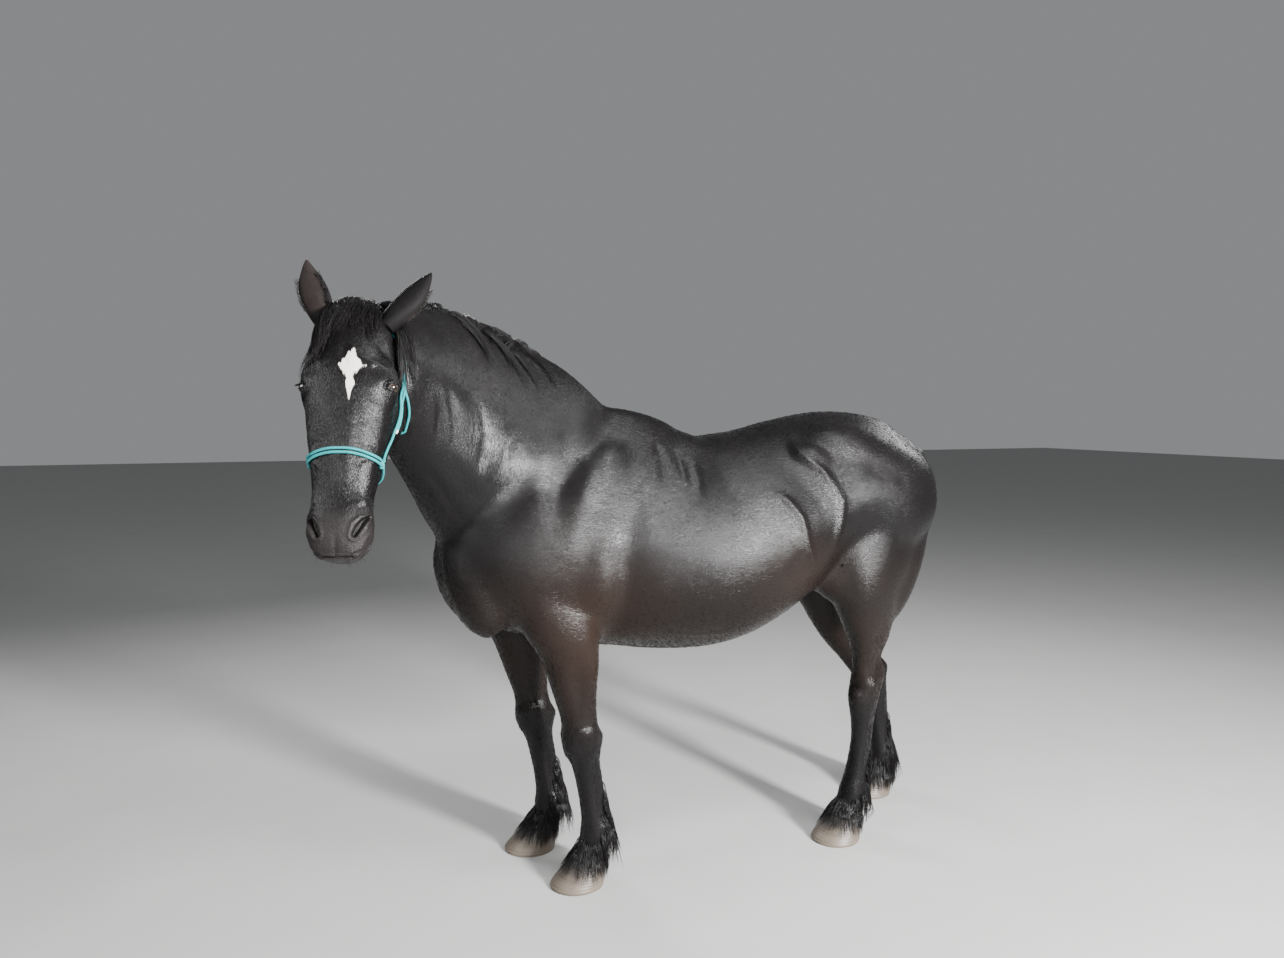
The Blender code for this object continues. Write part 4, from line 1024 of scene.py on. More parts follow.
# the place of each point on that unwrap
def unwrapPlaces(points):
    inside = inHead(points)
    headward, _, neckward = coatPlaces(points)
    x, y, z = points.T
    turn = roundTurn(inside[:, 0], inside[:, 1] + 0.06)
    onHead = onPatch("head", turn, np.clip((0.25 - inside[:, 2]) / 1.1, 0, 1))
    onTrunk = onPatch("trunk", np.clip((y + 1.15) / 2.15, 0, 1), roundTurn(x, z - 1.25))
    onNeck = onPatch("neck", np.clip((y + 1.45) / 1.0, 0, 1), roundTurn(x - 0.1, z - 1.6))
    places = np.where((neckward > 0.5)[:, None], onNeck, onTrunk)
    places = np.where((headward > 0.5)[:, None], onHead, places)
    for k, name in enumerate(legShape["legs"]):
        angle, height, away = inLeg(points, name)
        mine = (z < 0.86) & (away < 0.22) & (headward < 0.5)
        mine &= (x > 0) == ("left" in name)
        mine &= (y < 0) == ("front" in name)
        own = onPatch("leg", k + 0.5 + angle / 360, np.clip(height / 0.9, 0, 1))
        places = np.where(mine[:, None], own, places)
    return places


# what the coat's materials read, for hairs of this many corners each that are rooted here
def markHairs(obj, roots, corners, along, nudge):
    store(obj, "along", along)
    store(obj, "strand", np.repeat(dice.random(len(roots)), corners))
    bakePlaces(obj, np.repeat(unwrapPlaces(roots), corners, axis=0) + (nudge - 0.5) * 0.003)
    store(obj, "headPlace", np.repeat(inHead(roots), corners, axis=0))
    store(obj, "brown", np.repeat(brownness(roots), corners))
    return shadeSmooth(obj)


# many strands in one mesh: paths are strands x rows x 3, widths strands x rows, and a way across
# is given for each strand or for each of its rows
def strandMesh(name, paths, across, widths, flat=0.5, sides=3):
    count, rows, _ = paths.shape
    along = np.gradient(paths, axis=1)
    along /= np.linalg.norm(along, axis=2, keepdims=True) + 1e-9
    side = across - along * (across * along).sum(2, keepdims=True)
    side /= np.linalg.norm(side, axis=2, keepdims=True) + 1e-9
    rise = np.cross(along, side)
    turns = 2 * math.pi * (np.arange(sides) + 0.25) / sides
    turns = turns[None, None, :, None]
    ring = side[:, :, None] * np.cos(turns) + rise[:, :, None] * np.sin(turns) * flat
    points = paths[:, :, None] + ring * widths[:, :, None, None]
    first = (np.arange(count) * rows * sides)[:, None, None]
    row = (np.arange(rows - 1) * sides)[None, :, None]
    j = np.arange(sides)[None, None, :]
    a, b = first + row + j, first + row + (j + 1) % sides
    quads = np.stack((a, b, b + sides, a + sides), 3).reshape(-1, 4)
    caps = np.stack([first[:, 0] + k for k in reversed(range(sides))], 2).reshape(-1, sides)
    tips = np.stack([first[:, 0] + (rows - 1) * sides + k for k in range(sides)], 2).reshape(-1, sides)
    obj = meshFrom(name, points.reshape(-1, 3), [quads, caps, tips])
    along = np.repeat(np.tile(np.linspace(0, 1, rows), count), sides)
    nudge = np.stack((np.tile(turns.ravel() / 7, count * rows), along), 1)
    return markHairs(obj, paths[:, 0], rows * sides, along, nudge)


# the map that a baked colour is laid out on: each strand is a small patch at its root
def bakePlaces(obj, places):
    layer = obj.data.uv_layers.new(name="OFBake")
    index = np.empty(len(obj.data.loops), np.int32)
    obj.data.loops.foreach_get("vertex_index", index)
    layer.data.foreach_set("uv", np.clip(places[index], 0.001, 0.999).astype(np.float32).ravel())


# a path of (point, normal) rows that is rooted in the surface and lies on it, falling as it goes
def guide(tree, start, aim, length, lie):
    lift, steps = chance.uniform(*lie["lift"]), lie["steps"]
    spot, normal, _, _ = tree.find_nearest(start)
    point, step = spot + normal * lift * 0.5, length / steps
    path = [(spot - normal * lie["root"], normal)]
    aim = aim.normalized()
    for _ in range(steps):
        ahead = point + aim * step
        spot, normal, _, _ = tree.find_nearest(ahead)
        height = (ahead - spot).dot(normal)
        if height < lift:
            ahead += normal * (lift - height)
        elif normal.z > -0.4:
            ahead += normal * (lift - height) * lie["hug"]
        ahead.z = max(ahead.z, lie["floor"])
        path.append((ahead, normal))
        drop = Vector((0, 0, -lie["fall"]))
        aim = ((ahead - point).normalized() * (1 - lie["fall"]) + drop).normalized()
        point = ahead
    return path


# how far off the surface guides lie, how much they fall, how closely they keep to it, their
# steps, how deep their roots go and how near the ground they come
def lying(lift, fall, hug, steps, floor=0.006):
    return {"lift": lift, "fall": fall, "hug": hug, "steps": steps, "root": 0.006, "floor": floor}


# strands that run together along each guide and gather towards its tip
def clumped(guides, shape):
    keys = ("strands", "rows", "spread", "depth", "wave")
    strands, rows, spread, depth, wave = (shape[key] for key in keys)
    paths, sides = [], []
    for path, scale in guides:
        line = np.array([tuple(point) for point, _ in path])
        up = np.array([tuple(normal) for _, normal in path])
        way = np.gradient(line, axis=0)
        side = np.cross(way, up)
        side /= np.linalg.norm(side, axis=1, keepdims=True) + 1e-9
        for _ in range(strands):
            reach = dice.uniform(0.62, 1.0) * (len(line) - 1)
            places = np.linspace(0, 1, rows) ** 0.9 * reach
            at = [np.interp(places, np.arange(len(line)), values) for values in (*line.T, *side.T, *up.T)]
            at = np.array(at).T
            share = np.linspace(0, 1, rows)
            across = dice.uniform(-1, 1)
            outward = dice.uniform(0.0, 1.0)
            gather = 1 - shape["gather"] * share ** 1.3
            bend = np.sin(share * dice.uniform(3, 7) + dice.uniform(0, 6)) * wave * share * scale
            move = at[:, 3:6] * (across * spread * scale * gather + bend)[:, None]
            move += at[:, 6:9] * (outward * depth * scale * np.minimum(1, share * 5) * gather)[:, None]
            paths.append(at[:, 0:3] + move)
            sides.append(at[:, 3:6] + at[:, 6:9] * dice.uniform(-0.5, 0.5))
    return np.array(paths), np.array(sides)


def tapered(count, rows, low, high, tip=0.1):
    share = np.linspace(0, 1, rows)
    profile = np.minimum(1, 0.7 + share * 2) * (1 - (1 - tip) * share ** 2.2)
    return dice.uniform(low, high, count)[:, None] * profile[None, :]


# the strands of this shape along these guides
def grown(name, guides, shape):
    paths, sides = clumped(guides, shape)
    return strandMesh(name, paths, sides, tapered(len(paths), shape["rows"], *shape["width"]))


maneShape = {
    "guides": 124,
    "lie": lying((0.002, 0.012), 0.34, 0.6, 8),
    "behindEar": 16,
    "earLie": lying((0.006, 0.014), 0.2, 0.5, 8),
    "strands": 17,
    "rows": 9,
    "spread": 0.014,
    "depth": 0.009,
    "wave": 0.004,
    "gather": 0.45,
    "width": (0.0009, 0.0017),
}


# a point of the crest, the way along it to the withers and the way out to the horse's right
def crestRow(share):
    place = 6.4 - 5.2 * share
    here, there = (blendRows([row[0] for row in neckShape["rings"]], place - k) for k in (0, 0.3))
    along = (Vector(there) - Vector(here)).normalized()
    right = Vector((0, 0, 1)).cross(along).normalized()
    return Vector(here), along, right


def makeMane(tree):
    guides = []
    for k in range(maneShape["guides"]):
        share = (k + chance.uniform(0.1, 0.9)) / maneShape["guides"]
        here, along, right = crestRow(share)
        above = Vector((here.x, here.y, 2.5)) + right * chance.uniform(-0.034, 0.022)
        top = tree.ray_cast(above, Vector((0, 0, -1)))[0]
        if top is None:
            continue
        byEar = share < 0.16
        nearSide = chance.random() < (0.6 if byEar else 0.16 if share > 0.48 else 0.0)
        length = chance.uniform(0.24, 0.34) * (1 - 0.35 * abs(share - 0.45))
        aim = right + along * chance.uniform(-0.1, 0.34) + Vector((0, 0, chance.uniform(0.0, 0.2)))
        if nearSide and byEar:
            length = chance.uniform(0.2, 0.3)
            aim = Vector((0, 0, 0.2)) - right * 0.9 - along * 0.5
        elif nearSide:
            length = chance.uniform(0.18, 0.28)
            aim = along * 3.0 - right * 0.15 + Vector((0, 0, 0.3))
        guides.append((guide(tree, top, aim, length, maneShape["lie"]), 0.7 if nearSide else 1.0))
    place = headMatrix()
    for _ in range(maneShape["behindEar"]):
        spot = [chance.uniform(*reach) for reach in ((0.045, 0.095), (-0.075, -0.02), (-0.03, 0.01))]
        aim = place.to_3x3() @ Vector((0.5, chance.uniform(-0.1, 0.25), -1))
        length = chance.uniform(0.16, 0.26)
        guides.append((guide(tree, place @ Vector(spot), aim, length, maneShape["earLie"]), 0.8))
    return grown("mane", guides, maneShape)


forelockShape = {
    "guides": 64,
    "lie": lying((0.004, 0.016), 0.13, 0.75, 8),
    "strands": 16,
    # how far the strands hang, from the left ear to the right one
    "lengths": (0.145, 0.125, 0.108, 0.14, 0.21, 0.27, 0.25),
    "rows": 9,
    "spread": 0.014,
    "depth": 0.01,
    "wave": 0.006,
    "gather": 0.55,
    "width": (0.0008, 0.0014),
}


def makeForelock(tree):
    place = headMatrix()
    guides = []
    for k in range(forelockShape["guides"]):
        share = (k + chance.uniform(0, 1)) / forelockShape["guides"]
        back = chance.random()
        start = place @ Vector((0.064 - 0.12 * share, 0.045 - 0.085 * back, 0.03 * back - 0.012))
        aim = place.to_3x3() @ Vector((0.22 - 0.85 * share, 0.45 + 0.8 * back, 0.9 * back - 0.8))
        length = np.interp(share, np.linspace(0, 1, 7), forelockShape["lengths"])
        length = length * chance.uniform(0.85, 1.08) + 0.06 * back
        guides.append((guide(tree, start, aim, length, forelockShape["lie"]), 1.0))
    return grown("forelock", guides, forelockShape)


tailShape = {
    "guides": 80,
    "lie": lying((0.001, 0.006), 0.05, 0.5, 8),
    "strands": 18,
    "rows": 9,
    "spread": 0.012,
    "depth": 0.008,
    "wave": 0.004,
    "gather": 0.45,
    "width": (0.0009, 0.0016),
}


# the short tail, which hangs a little to the horse's right
def tail():
    rows = (
        (0.0, 0.8, 1.48, 0.04, 0.035, 0.035, 0.0, 2.0),
        (-0.004, 0.865, 1.455, 0.042, 0.036, 0.036, 0.0, 2.0),
        (-0.014, 0.886, 1.37, 0.048, 0.034, 0.04, 0.0, 2.0),
        (-0.032, 0.88, 1.24, 0.06, 0.034, 0.046, 0.0, 2.0),
        (-0.046, 0.858, 1.1, 0.062, 0.032, 0.048, 0.0, 2.0),
        (-0.055, 0.824, 0.98, 0.046, 0.024, 0.04, 0.0, 2.0),
        (-0.058, 0.796, 0.905, 0.014, 0.008, 0.012, 0.0, 2.0),
    )
    return loft("tail", rows, Vector((0, 1, 0)), sides=12, steps=2)


def makeTail(tree):
    guides = []
    for k in range(tailShape["guides"]):
        turn = chance.uniform(0, 2 * math.pi)
        height = 1.455 - 0.34 * (k / tailShape["guides"])
        start = Vector((0.06 * math.sin(turn) - 0.026, 0.885 + 0.06 * math.cos(turn), height))
        aim = Vector((0.06 * math.sin(turn) - 0.05, 0.02 * math.cos(turn) - 0.05, -1))
        length = min(chance.uniform(0.22, 0.36), height - 0.915)
        guides.append((guide(tree, start, aim, length, tailShape["lie"]), 1.0))
    return grown("tail_hair", guides, tailShape)


featherShape = {
    "rows": 7,
    "spread": 0.011,
    "depth": 0.004,
    "wave": 0.0015,
    "gather": 0.12,
    "width": (0.0007, 0.0012),
    "strands": 8,
    # height, how far round from the rear in radians, guides, longest, push outwards
    "tiers": (
        (0.335, 0.9, 10, 0.11, 0.28),
        (0.3, 1.3, 14, 0.15, 0.4),
        (0.255, 1.9, 20, 0.165, 0.54),
        (0.205, 2.6, 24, 0.165, 0.6),
        (0.17, 3.6, 26, 0.14, 0.56),
    ),
    "lie": lying((0.001, 0.006), 0.11, 0.14, 6, floor=0.03),
    # the fringe that lies over the hoof: heights of its roots, guides, heights of its tips
    "fringe": ((0.098, 0.17), 90, (0.026, 0.044)),
    "fringeLie": lying((0.001, 0.007), 0.1, 0.8, 6, floor=0.02),
    "hindShare": 0.55,
}


def makeFeather(name, tree):
    _, toeOut, places, _ = legShape["legs"][name]
    toe = math.radians(toeOut) - math.pi / 2
    full = 1.0 if "front" in name else featherShape["hindShare"]
    guides = []

    def hang(level, out, aim, length, lie):
        x, y = atHeight(places, level)
        path = guide(tree, Vector((x, y, level)) + out * 0.06, aim + Vector((0, 0, -1)), length, lie)
        guides.append((path, 1.0))

    heights, count, tips = featherShape["fringe"]
    for k in range(count):
        turn = 2 * math.pi * (k + chance.uniform(0, 1)) / count
        level = chance.uniform(*heights)
        out = Vector((math.cos(turn), math.sin(turn), 0))
        length = (level - chance.uniform(*tips)) / 0.84
        hang(level, out, out * 0.4, length, featherShape["fringeLie"])
    for height, spread, count, longest, push in featherShape["tiers"]:
        for k in range(count):
            share = (k + chance.uniform(0, 1)) / count - 0.5
            turn = toe + math.pi + share * spread
            level = height + chance.uniform(-0.022, 0.022)
            out = Vector((math.cos(turn), math.sin(turn), 0))
            behind = max(0.0, math.cos(share * spread))
            length = min(longest, level - 0.03) * chance.uniform(0.8, 1.05)
            hang(level, out, out * push * full * (0.25 + 0.75 * behind), length, featherShape["lie"])
    return grown(name.replace("leg", "feather"), guides, featherShape)


furShape = {
    "body": 46000,
    "head": 22000,
    "length": (0.01, 0.017),
    "headLength": (0.005, 0.009),
    "width": 0.0008,
    "lean": 0.1,
}


# the way the short hair lies on each part; the neck's is added to the body's, the face's is in
# head space
coatFlow = {
    "body": (0.0, 0.9, -0.42),
    "neck": (-0.3, -0.1, -0.6),
    "leg": (0, 0.12, -1.0),
    "face": (0, 0.1, -1.0),
}


# which way the short hair lies at each place
def hairFlow(points, out):
    headward, legward, neckward = (share[:, None] for share in coatPlaces(points))
    body, neckway, legway, face = (np.array(coatFlow[part]) for part in ("body", "neck", "leg", "face"))
    flow = body[None, :].repeat(len(points), 0) + neckward * neckway
    flow = flow * (1 - legward) + legward * legway
    flow = flow * (1 - headward) + headward * (np.array(headMatrix().to_3x3()) @ face)
    flow -= out * (flow * out).sum(1, keepdims=True)
    return flow / (np.linalg.norm(flow, axis=1, keepdims=True) + 1e-9)


# random places on the skin, as many as asked for, thicker where the weight is higher
def scattered(skin, count, weight):
    mesh = skin.data
    mesh.calc_loop_triangles()
    corners = np.empty(len(mesh.loop_triangles) * 3, np.int32)
    mesh.loop_triangles.foreach_get("vertices", corners)
    corners = corners.reshape(-1, 3)
    points, out = coordinates(skin), normals(skin)
    a, b, c = (points[corners[:, k]] for k in range(3))
    area = np.linalg.norm(np.cross(b - a, c - a), axis=1) / 2
    share = area * weight((a + b + c) / 3)
    picked = dice.choice(len(corners), count, p=share / share.sum())
    u, v = np.sqrt(dice.random(count)), dice.random(count)
    mix = np.stack((1 - u, u * (1 - v), u * v), 1)
    spots = (points[corners[picked]] * mix[:, :, None]).sum(1)
    ways = (out[corners[picked]] * mix[:, :, None]).sum(1)
    return spots, ways / np.linalg.norm(ways, axis=1, keepdims=True)


# small closed tufts that lie almost flat, each a slim pyramid
def tufts(name, spots, out, lengths, widths, lean):
    count = len(spots)
    flow = hairFlow(spots, out)
    side = np.cross(flow, out)
    flow = flow + side * dice.uniform(-0.28, 0.28, count)[:, None]
    root = spots - out * 0.0012
    corners = [
        root + side * widths[:, None],
        root - side * widths[:, None],
        root + out * (0.0012 + widths * 0.55)[:, None] + flow * (lengths * 0.12)[:, None],
        spots + flow * lengths[:, None] + out * (lengths * lean)[:, None],
    ]
    points = np.stack(corners, 1).reshape(-1, 3)
    first = (np.arange(count) * 4)[:, None]
    sides = ((2, 1, 0), (3, 0, 1), (3, 1, 2), (3, 2, 0))
    obj = meshFrom(name, points, [np.concatenate([first + np.array(side) for side in sides])])
    along = np.tile((0.0, 0.0, 0.0, 1.0), count)
    markHairs(obj, spots, 4, along, np.tile(((0, 0), (1, 0), (0, 1), (1, 1)), (count, 1)))
    obj.data.normals_split_custom_set_from_vertices(np.repeat(out, 4, axis=0))
    return obj


# how much longer and thicker it is under the jaw and along the belly
def furWeight(points):
    jaw = cloud(inHead(points), (0, -0.19, -0.25), (0.14, 0.05, 0.2))
    belly = bell(points[:, 2], 0.8, 0.05) * (points[:, 1] > -0.9) * (points[:, 1] < 0.4)
    return jaw, belly


def bodyWeight(points):
    return 1 + 1.2 * furWeight(points)[1] + 1.2 * (points[:, 2] < 0.8)


def headWeight(points):
    return coatPlaces(points)[0] * (1 + furWeight(points)[0]) + 1e-6


def makeFur(skin):
    wide, lean = furShape["width"], furShape["lean"]
    spots, out = scattered(skin, furShape["body"], bodyWeight)
    keep = (coatPlaces(spots)[0] < 0.8) & (spots[:, 2] > levels["coronet"] + 0.02)
    spots, out = spots[keep], out[keep]
    lengths = dice.uniform(*furShape["length"], len(spots)) * (1 + 0.5 * furWeight(spots)[1])
    body = tufts("fur_body", spots, out, lengths, np.full(len(spots), wide), lean)
    spots, out = scattered(skin, furShape["head"], headWeight)
    bare = ramp(-inHead(spots)[:, 2], 0.55, 0.62)
    for middle, _, _, _ in eyeFrames.values():
        bare = np.maximum(bare, np.linalg.norm(spots - middle, axis=1) < 0.036)
    keep = (dice.random(len(spots)) > bare) & (coatPlaces(spots)[0] > 0.2)
    spots, out = spots[keep], out[keep]
    lengths = dice.uniform(*furShape["headLength"], len(spots)) * (1 + 1.0 * furWeight(spots)[0])
    face = tufts("fur_head", spots, out, lengths, np.full(len(spots), wide * 0.75), lean)
    return [body, face]


# one short hair of a few rows, which leaves its root this way and bends as it goes
def shortHair(root, way, bend, length, rows=5):
    share = np.linspace(0, 1, rows)[:, None]
    return root + way * share * length + bend * share ** 2 * length


earHair = {"strands": 420, "length": (0.01, 0.022), "width": (0.0005, 0.0009), "rows": 6}


# the soft hair that fills the cups of the ears
def makeEarHair(ears):
    paths, sides = [], []
    turn = headMatrix().to_3x3()
    for name, obj in ears.items():
        along, facing = (np.array((turn @ way).normalized()) for way in earFrame(name)[2:])
        points, out = coordinates(obj), normals(obj)
        inner = (stored(obj, "cup") > 0.75) & (np.abs(out @ facing) < 0.85) & (stored(obj, "earAlong") < 0.72)
        for k in dice.choice(np.where(inner)[0], earHair["strands"]):
            length = dice.uniform(*earHair["length"])
            way = along * dice.uniform(0.5, 1.0) + facing * dice.uniform(0.3, 0.8) + out[k] * 0.35
            paths.append(shortHair(points[k] - out[k] * 0.001, way, facing * -0.35, length, earHair["rows"]))
            sides.append(np.cross(way, out[k]))
    widths = tapered(len(paths), earHair["rows"], *earHair["width"])
    return strandMesh("ear_hair", np.array(paths), np.array(sides)[:, None], widths)


lashShape = {
    "lashes": 46,
    "length": 0.017,
    "width": 0.00045,
    "whiskers": 64,
    "whiskerLength": (0.01, 0.022),
}


# the lashes on the upper lids and the sparse stiff hairs round the lips
def makeLashes(tree):
    paths, sides = [], []
    for middle, along, up, out in eyeFrames.values():
        for _ in range(lashShape["lashes"]):
            place = dice.uniform(-0.85, 0.85)
            u = place * eyeShape["half"]
            v = eyeShape["upper"] * math.sqrt(1 - place ** 2) * 1.05
            w = math.sqrt(max(0.0, (eyeShape["radius"] + eyeShape["lid"]) ** 2 - u * u - v * v)) - 0.0008
            root = middle + along * u + up * v + out * w
            length = lashShape["length"] * dice.uniform(0.6, 1.0)
            way = out * 0.75 + along * place * 0.45 - up * 0.1
            paths.append(shortHair(root, way, up * -0.25, length))
            sides.append(along)
    for k in range(lashShape["whiskers"]):
        reaches = (-0.075, 0.075), None if k % 2 else (-0.04, 0.05), (-0.71, -0.62)
        corner = [dice.uniform(*reach) if reach else -0.1 for reach in reaches]
        spot, normal, _, _ = (np.array(value) for value in tree.find_nearest(headMatrix() @ Vector(corner)))
        length = dice.uniform(*lashShape["whiskerLength"])
        way = normal + dice.normal(0, 0.25, 3)
        paths.append(shortHair(spot - normal * 0.001, way, np.array((0, 0, -0.4)), length))
        sides.append(np.cross(normal, (0.3, 0.5, 0.8)))
    widths = tapered(len(paths), 5, lashShape["width"] * 0.7, lashShape["width"])
    return strandMesh("lashes", np.array(paths), np.array(sides)[:, None], widths, flat=1.0)


earShape = {
    # its root, its tip and the way its cup faces, in head space
    "places": {
        "ear_left": ((0.082, -0.01, -0.04), (0.21, -0.01, 0.132), (0.6, -0.75, 0.25)),
        "ear_right": ((-0.08, 0.005, -0.04), (-0.132, 0.085, 0.118), (-0.25, 0.95, -0.2)),
    },
    # from root to tip: share of its length, half width, reach to the cup's side, reach to the back
    "rings": (
        (0.0, 0.026, 0.024, 0.028),
        (0.18, 0.036, 0.024, 0.032),
        (0.42, 0.043, 0.02, 0.03),
        (0.66, 0.036, 0.014, 0.024),
        (0.86, 0.018, 0.009, 0.014),
        (1.0, 0.003, 0.003, 0.003),
    ),
    "voxel": 0.0019,
}


def earFrame(name):
    root, tip, facing = (Vector(value) for value in earShape["places"][name])
    along = (tip - root).normalized()
    facing = (facing - along * facing.dot(along)).normalized()
    return root, tip, along, facing


# one ear with its cup, its tip bent a little inwards
def ear(name):
    root, tip, along, facing = earFrame(name)
    inwards = Vector((-root.x, 0, 0)).normalized()
    shell, hollow = [], []
    for share, width, front, back in earShape["rings"]:
        centre = root + (tip - root) * share + inwards * 0.018 * (share ** 3 - 0.5 * share)
        shell.append((*centre, width, front, back, 0.0, 2.0))
        if 0.1 < share < 0.95:
            place = centre + facing * front * 0.9
            hollow.append((*place, width * 0.8, 0.03, back * 0.75 + front * 0.9, 0.0, 2.0))
    top = root + (tip - root) * 0.965 + inwards * 0.012
    hollow.append((*(top + facing * 0.006), 0.003, 0.02, 0.004, 0.0, 2.0))
    obj = loft(name + "_skin", shell, facing, sides=40, steps=6)
    cup = loft(name + "_cup", hollow, facing, sides=40, steps=6)
    for made in (obj, cup):
        made.data.transform(headMatrix())
    cutAway(obj, cup)
    smoothed(fused(obj, earShape["voxel"]), 5, lambda point: 1.0)
    inside = np.array((headMatrix().to_3x3() @ facing).normalized())
    out, points = normals(obj), inHead(coordinates(obj))
    place = (points - np.array(root)) @ np.array(along) / (tip - root).length
    store(obj, "cup", ramp(out @ inside, -0.25, 0.35) * ramp(place, 0.12, 0.3))
    store(obj, "headPlace", points)
    store(obj, "earAlong", place)
    return shadeSmooth(obj)


hoofShape = {
    # height, half width, reach to the toe, reach to the heel, shift forward
    "rings": (
        (0.0, 0.087, 0.09, 0.096, 0.044),
        (0.012, 0.088, 0.091, 0.096, 0.042),
        (0.045, 0.079, 0.078, 0.083, 0.023),
        (levels["coronet"] - levels["gap"], 0.067, 0.062, 0.067, 0.0),
    ),
    "sides": 96,
    "steps": 14,
    # height and distance apart of the growth rings, and depth and width of the heel's split
    "growth": (0.0007, 0.0085),
    "split": (-0.01, 0.16),
}


# growth rings round the wall and the small split between the bulbs of the heel
def hoof(name):
    _, toeOut, places, _ = legShape["legs"][name]
    turn = math.radians(toeOut)
    forward = Vector((math.sin(turn), -math.cos(turn), 0))
    x, y = atHeight(places, levels["coronet"])
    rows = []
    for z, width, toe, heel, shift in hoofShape["rings"]:
        centre = Vector((x, y, z)) + forward * shift
        rows.append((*centre, width, toe, heel, 0.0, 2.0))
    fine = {"sides": hoofShape["sides"], "steps": hoofShape["steps"]}
    obj = loft(name.replace("leg", "horn"), rows, forward, level=Vector((0, 0, 1)), **fine)
    points = coordinates(obj)
    away = points[:, :2] - np.array((x, y))
    angle = np.arctan2(away @ np.array((forward.y, -forward.x)), away @ np.array((forward.x, forward.y)))
    z = points[:, 2]
    wall = ramp(z, 0.004, 0.012) * (1 - ramp(z, 0.08, 0.092))
    height, apart = hoofShape["growth"]
    rings = height * np.sin(z * 2 * math.pi / apart + 0.8 * np.cos(angle))
    rings += 0.0004 * np.sin(z * 900 + np.sin(angle * 5))
    depth, spread = hoofShape["split"]
    split = depth * bell(np.abs(angle), math.pi, spread) * ramp(z, 0.0, 0.05)
    way = away / (np.linalg.norm(away, axis=1, keepdims=True) + 1e-9)
    points[:, :2] += way * ((rings - 0.0009) * wall + split)[:, None]
    setCoordinates(obj, points)
    store(obj, "level", z)
    return shadeSmooth(obj)


# one eyeball with the clear bulge in front
def eyeball(word):
    middle, along, up, out = eyeFrames[word]
    shape = bmesh.new()
    bmesh.ops.create_uvsphere(shape, u_segments=64, v_segments=40, radius=eyeShape["radius"])
    obj = shapeObject("eyeball_" + word, shape)
    points = coordinates(obj)
    share = points[:, 2] / eyeShape["radius"]
    points *= (1 + eyeShape["bulge"] * ramp(share, 0.66, 0.9))[:, None]
    store(obj, "gaze", points / eyeShape["radius"])
    setCoordinates(obj, middle + points @ np.array((along, up, out)))
    return shadeSmooth(faceOutwards(obj))


ropeShape = {
    "radius": 0.0038,
    "step": 0.0026,
    "plaits": 6,
    "relief": 0.1,
    "sides": 14,
    # how far apart the places are that a rope is laid through on the head
    "stride": 0.008,
    # size and thickness of a knot
    "knot": (0.0042, 0.0034),
}


# a round braided rope along (point, normal) rows, pale for this length at its end
def braided(name, path, radius=ropeShape["radius"], pale=0.0):
    line = np.array([tuple(point) for point, _ in path])
    up = np.array([tuple(normal) for _, normal in path])
    lengths = np.concatenate(([0], np.cumsum(np.linalg.norm(np.diff(line, axis=0), axis=1))))
    rows = max(6, int(lengths[-1] / ropeShape["step"]))
    places = np.linspace(0, lengths[-1], rows)
    line = np.array([np.interp(places, lengths, values) for values in line.T]).T
    up = np.array([np.interp(places, lengths, values) for values in up.T]).T
    for _ in range(3):
        line[1:-1] = (line[:-2] + 2 * line[1:-1] + line[2:]) / 4
    way = np.gradient(line, axis=0)
    way /= np.linalg.norm(way, axis=1, keepdims=True) + 1e-9
    side = np.cross(way, up)
    side /= np.linalg.norm(side, axis=1, keepdims=True) + 1e-9
    rise = np.cross(side, way)
    sides = ropeShape["sides"]
    turns = 2 * math.pi * np.arange(sides) / sides
    twist = places[:, None] / (radius * 4.2)
    crossing = ropeShape["plaits"] / 2 * turns[None, :]
    bulge = np.abs(np.sin(crossing + twist * 2)) + np.abs(np.sin(crossing - twist * 2))
    reach = radius * (1 + ropeShape["relief"] * (bulge - 1.2))
    reach[[0, -1]] *= 0.55
    points = line[:, None] + side[:, None] * np.cos(turns)[None, :, None] * reach[:, :, None]
    points += rise[:, None] * np.sin(turns)[None, :, None] * reach[:, :, None]
    j = np.arange(sides)
    row = (np.arange(rows - 1) * sides)[:, None]
    a, b = row + j, row + (j + 1) % sides
    quads = np.stack((a, b, b + sides, a + sides), 2).reshape(-1, 4)
    ends = [j[::-1][None, :], ((rows - 1) * sides + j)[None, :]]
    obj = meshFrom(name, points.reshape(-1, 3), [quads, *ends])
    faceOutwards(obj)
    # how far each point stands out on the plaits, which the rope's colour uses to paint shade into the
    # grooves
    store(obj, "plait", ((bulge - bulge.min()) / np.ptp(bulge)).ravel())
    tip = (places > lengths[-1] - pale) * (1.0 if pale else 0.0)
    store(obj, "pale", np.repeat(tip, sides))
    store(obj, "run", np.repeat(places, sides))
    return shadeSmooth(obj)


# a path of (point, normal) rows through corners in head space, lifted off the surface it lies on
def laid(tree, corners, lift):
    rows = [tuple(corner) for corner in corners]
    fine = [Vector(blendRows(rows, k / 24)) for k in range((len(rows) - 1) * 24 + 1)]
    path, last = [], None
    for point in fine:
        spot, normal, _, _ = tree.find_nearest(headMatrix() @ point)
        place = spot + normal * lift
        if last is None or (place - last).length >= ropeShape["stride"]:
            path.append((place, normal))
            last = place
    return path


# points in head space round the poll behind the ears, by turns from the left cheek to the right
def girth(tree, first, last, count):
    place, back = headMatrix(), headMatrix().inverted()
    corners = []
    for k in range(count):
        turn = math.pi * (first + (last - first) * k / (count - 1))
        way = Vector((math.cos(turn), -0.537 * math.sin(turn), -0.844 * math.sin(turn)))
        middle = Vector((0, -0.085, -0.105))
        start = place @ (middle + way * 0.5)
        hit = tree.ray_cast(start, (place @ middle - start).normalized())[0]
        corners.append(tuple(back @ hit))
    return corners


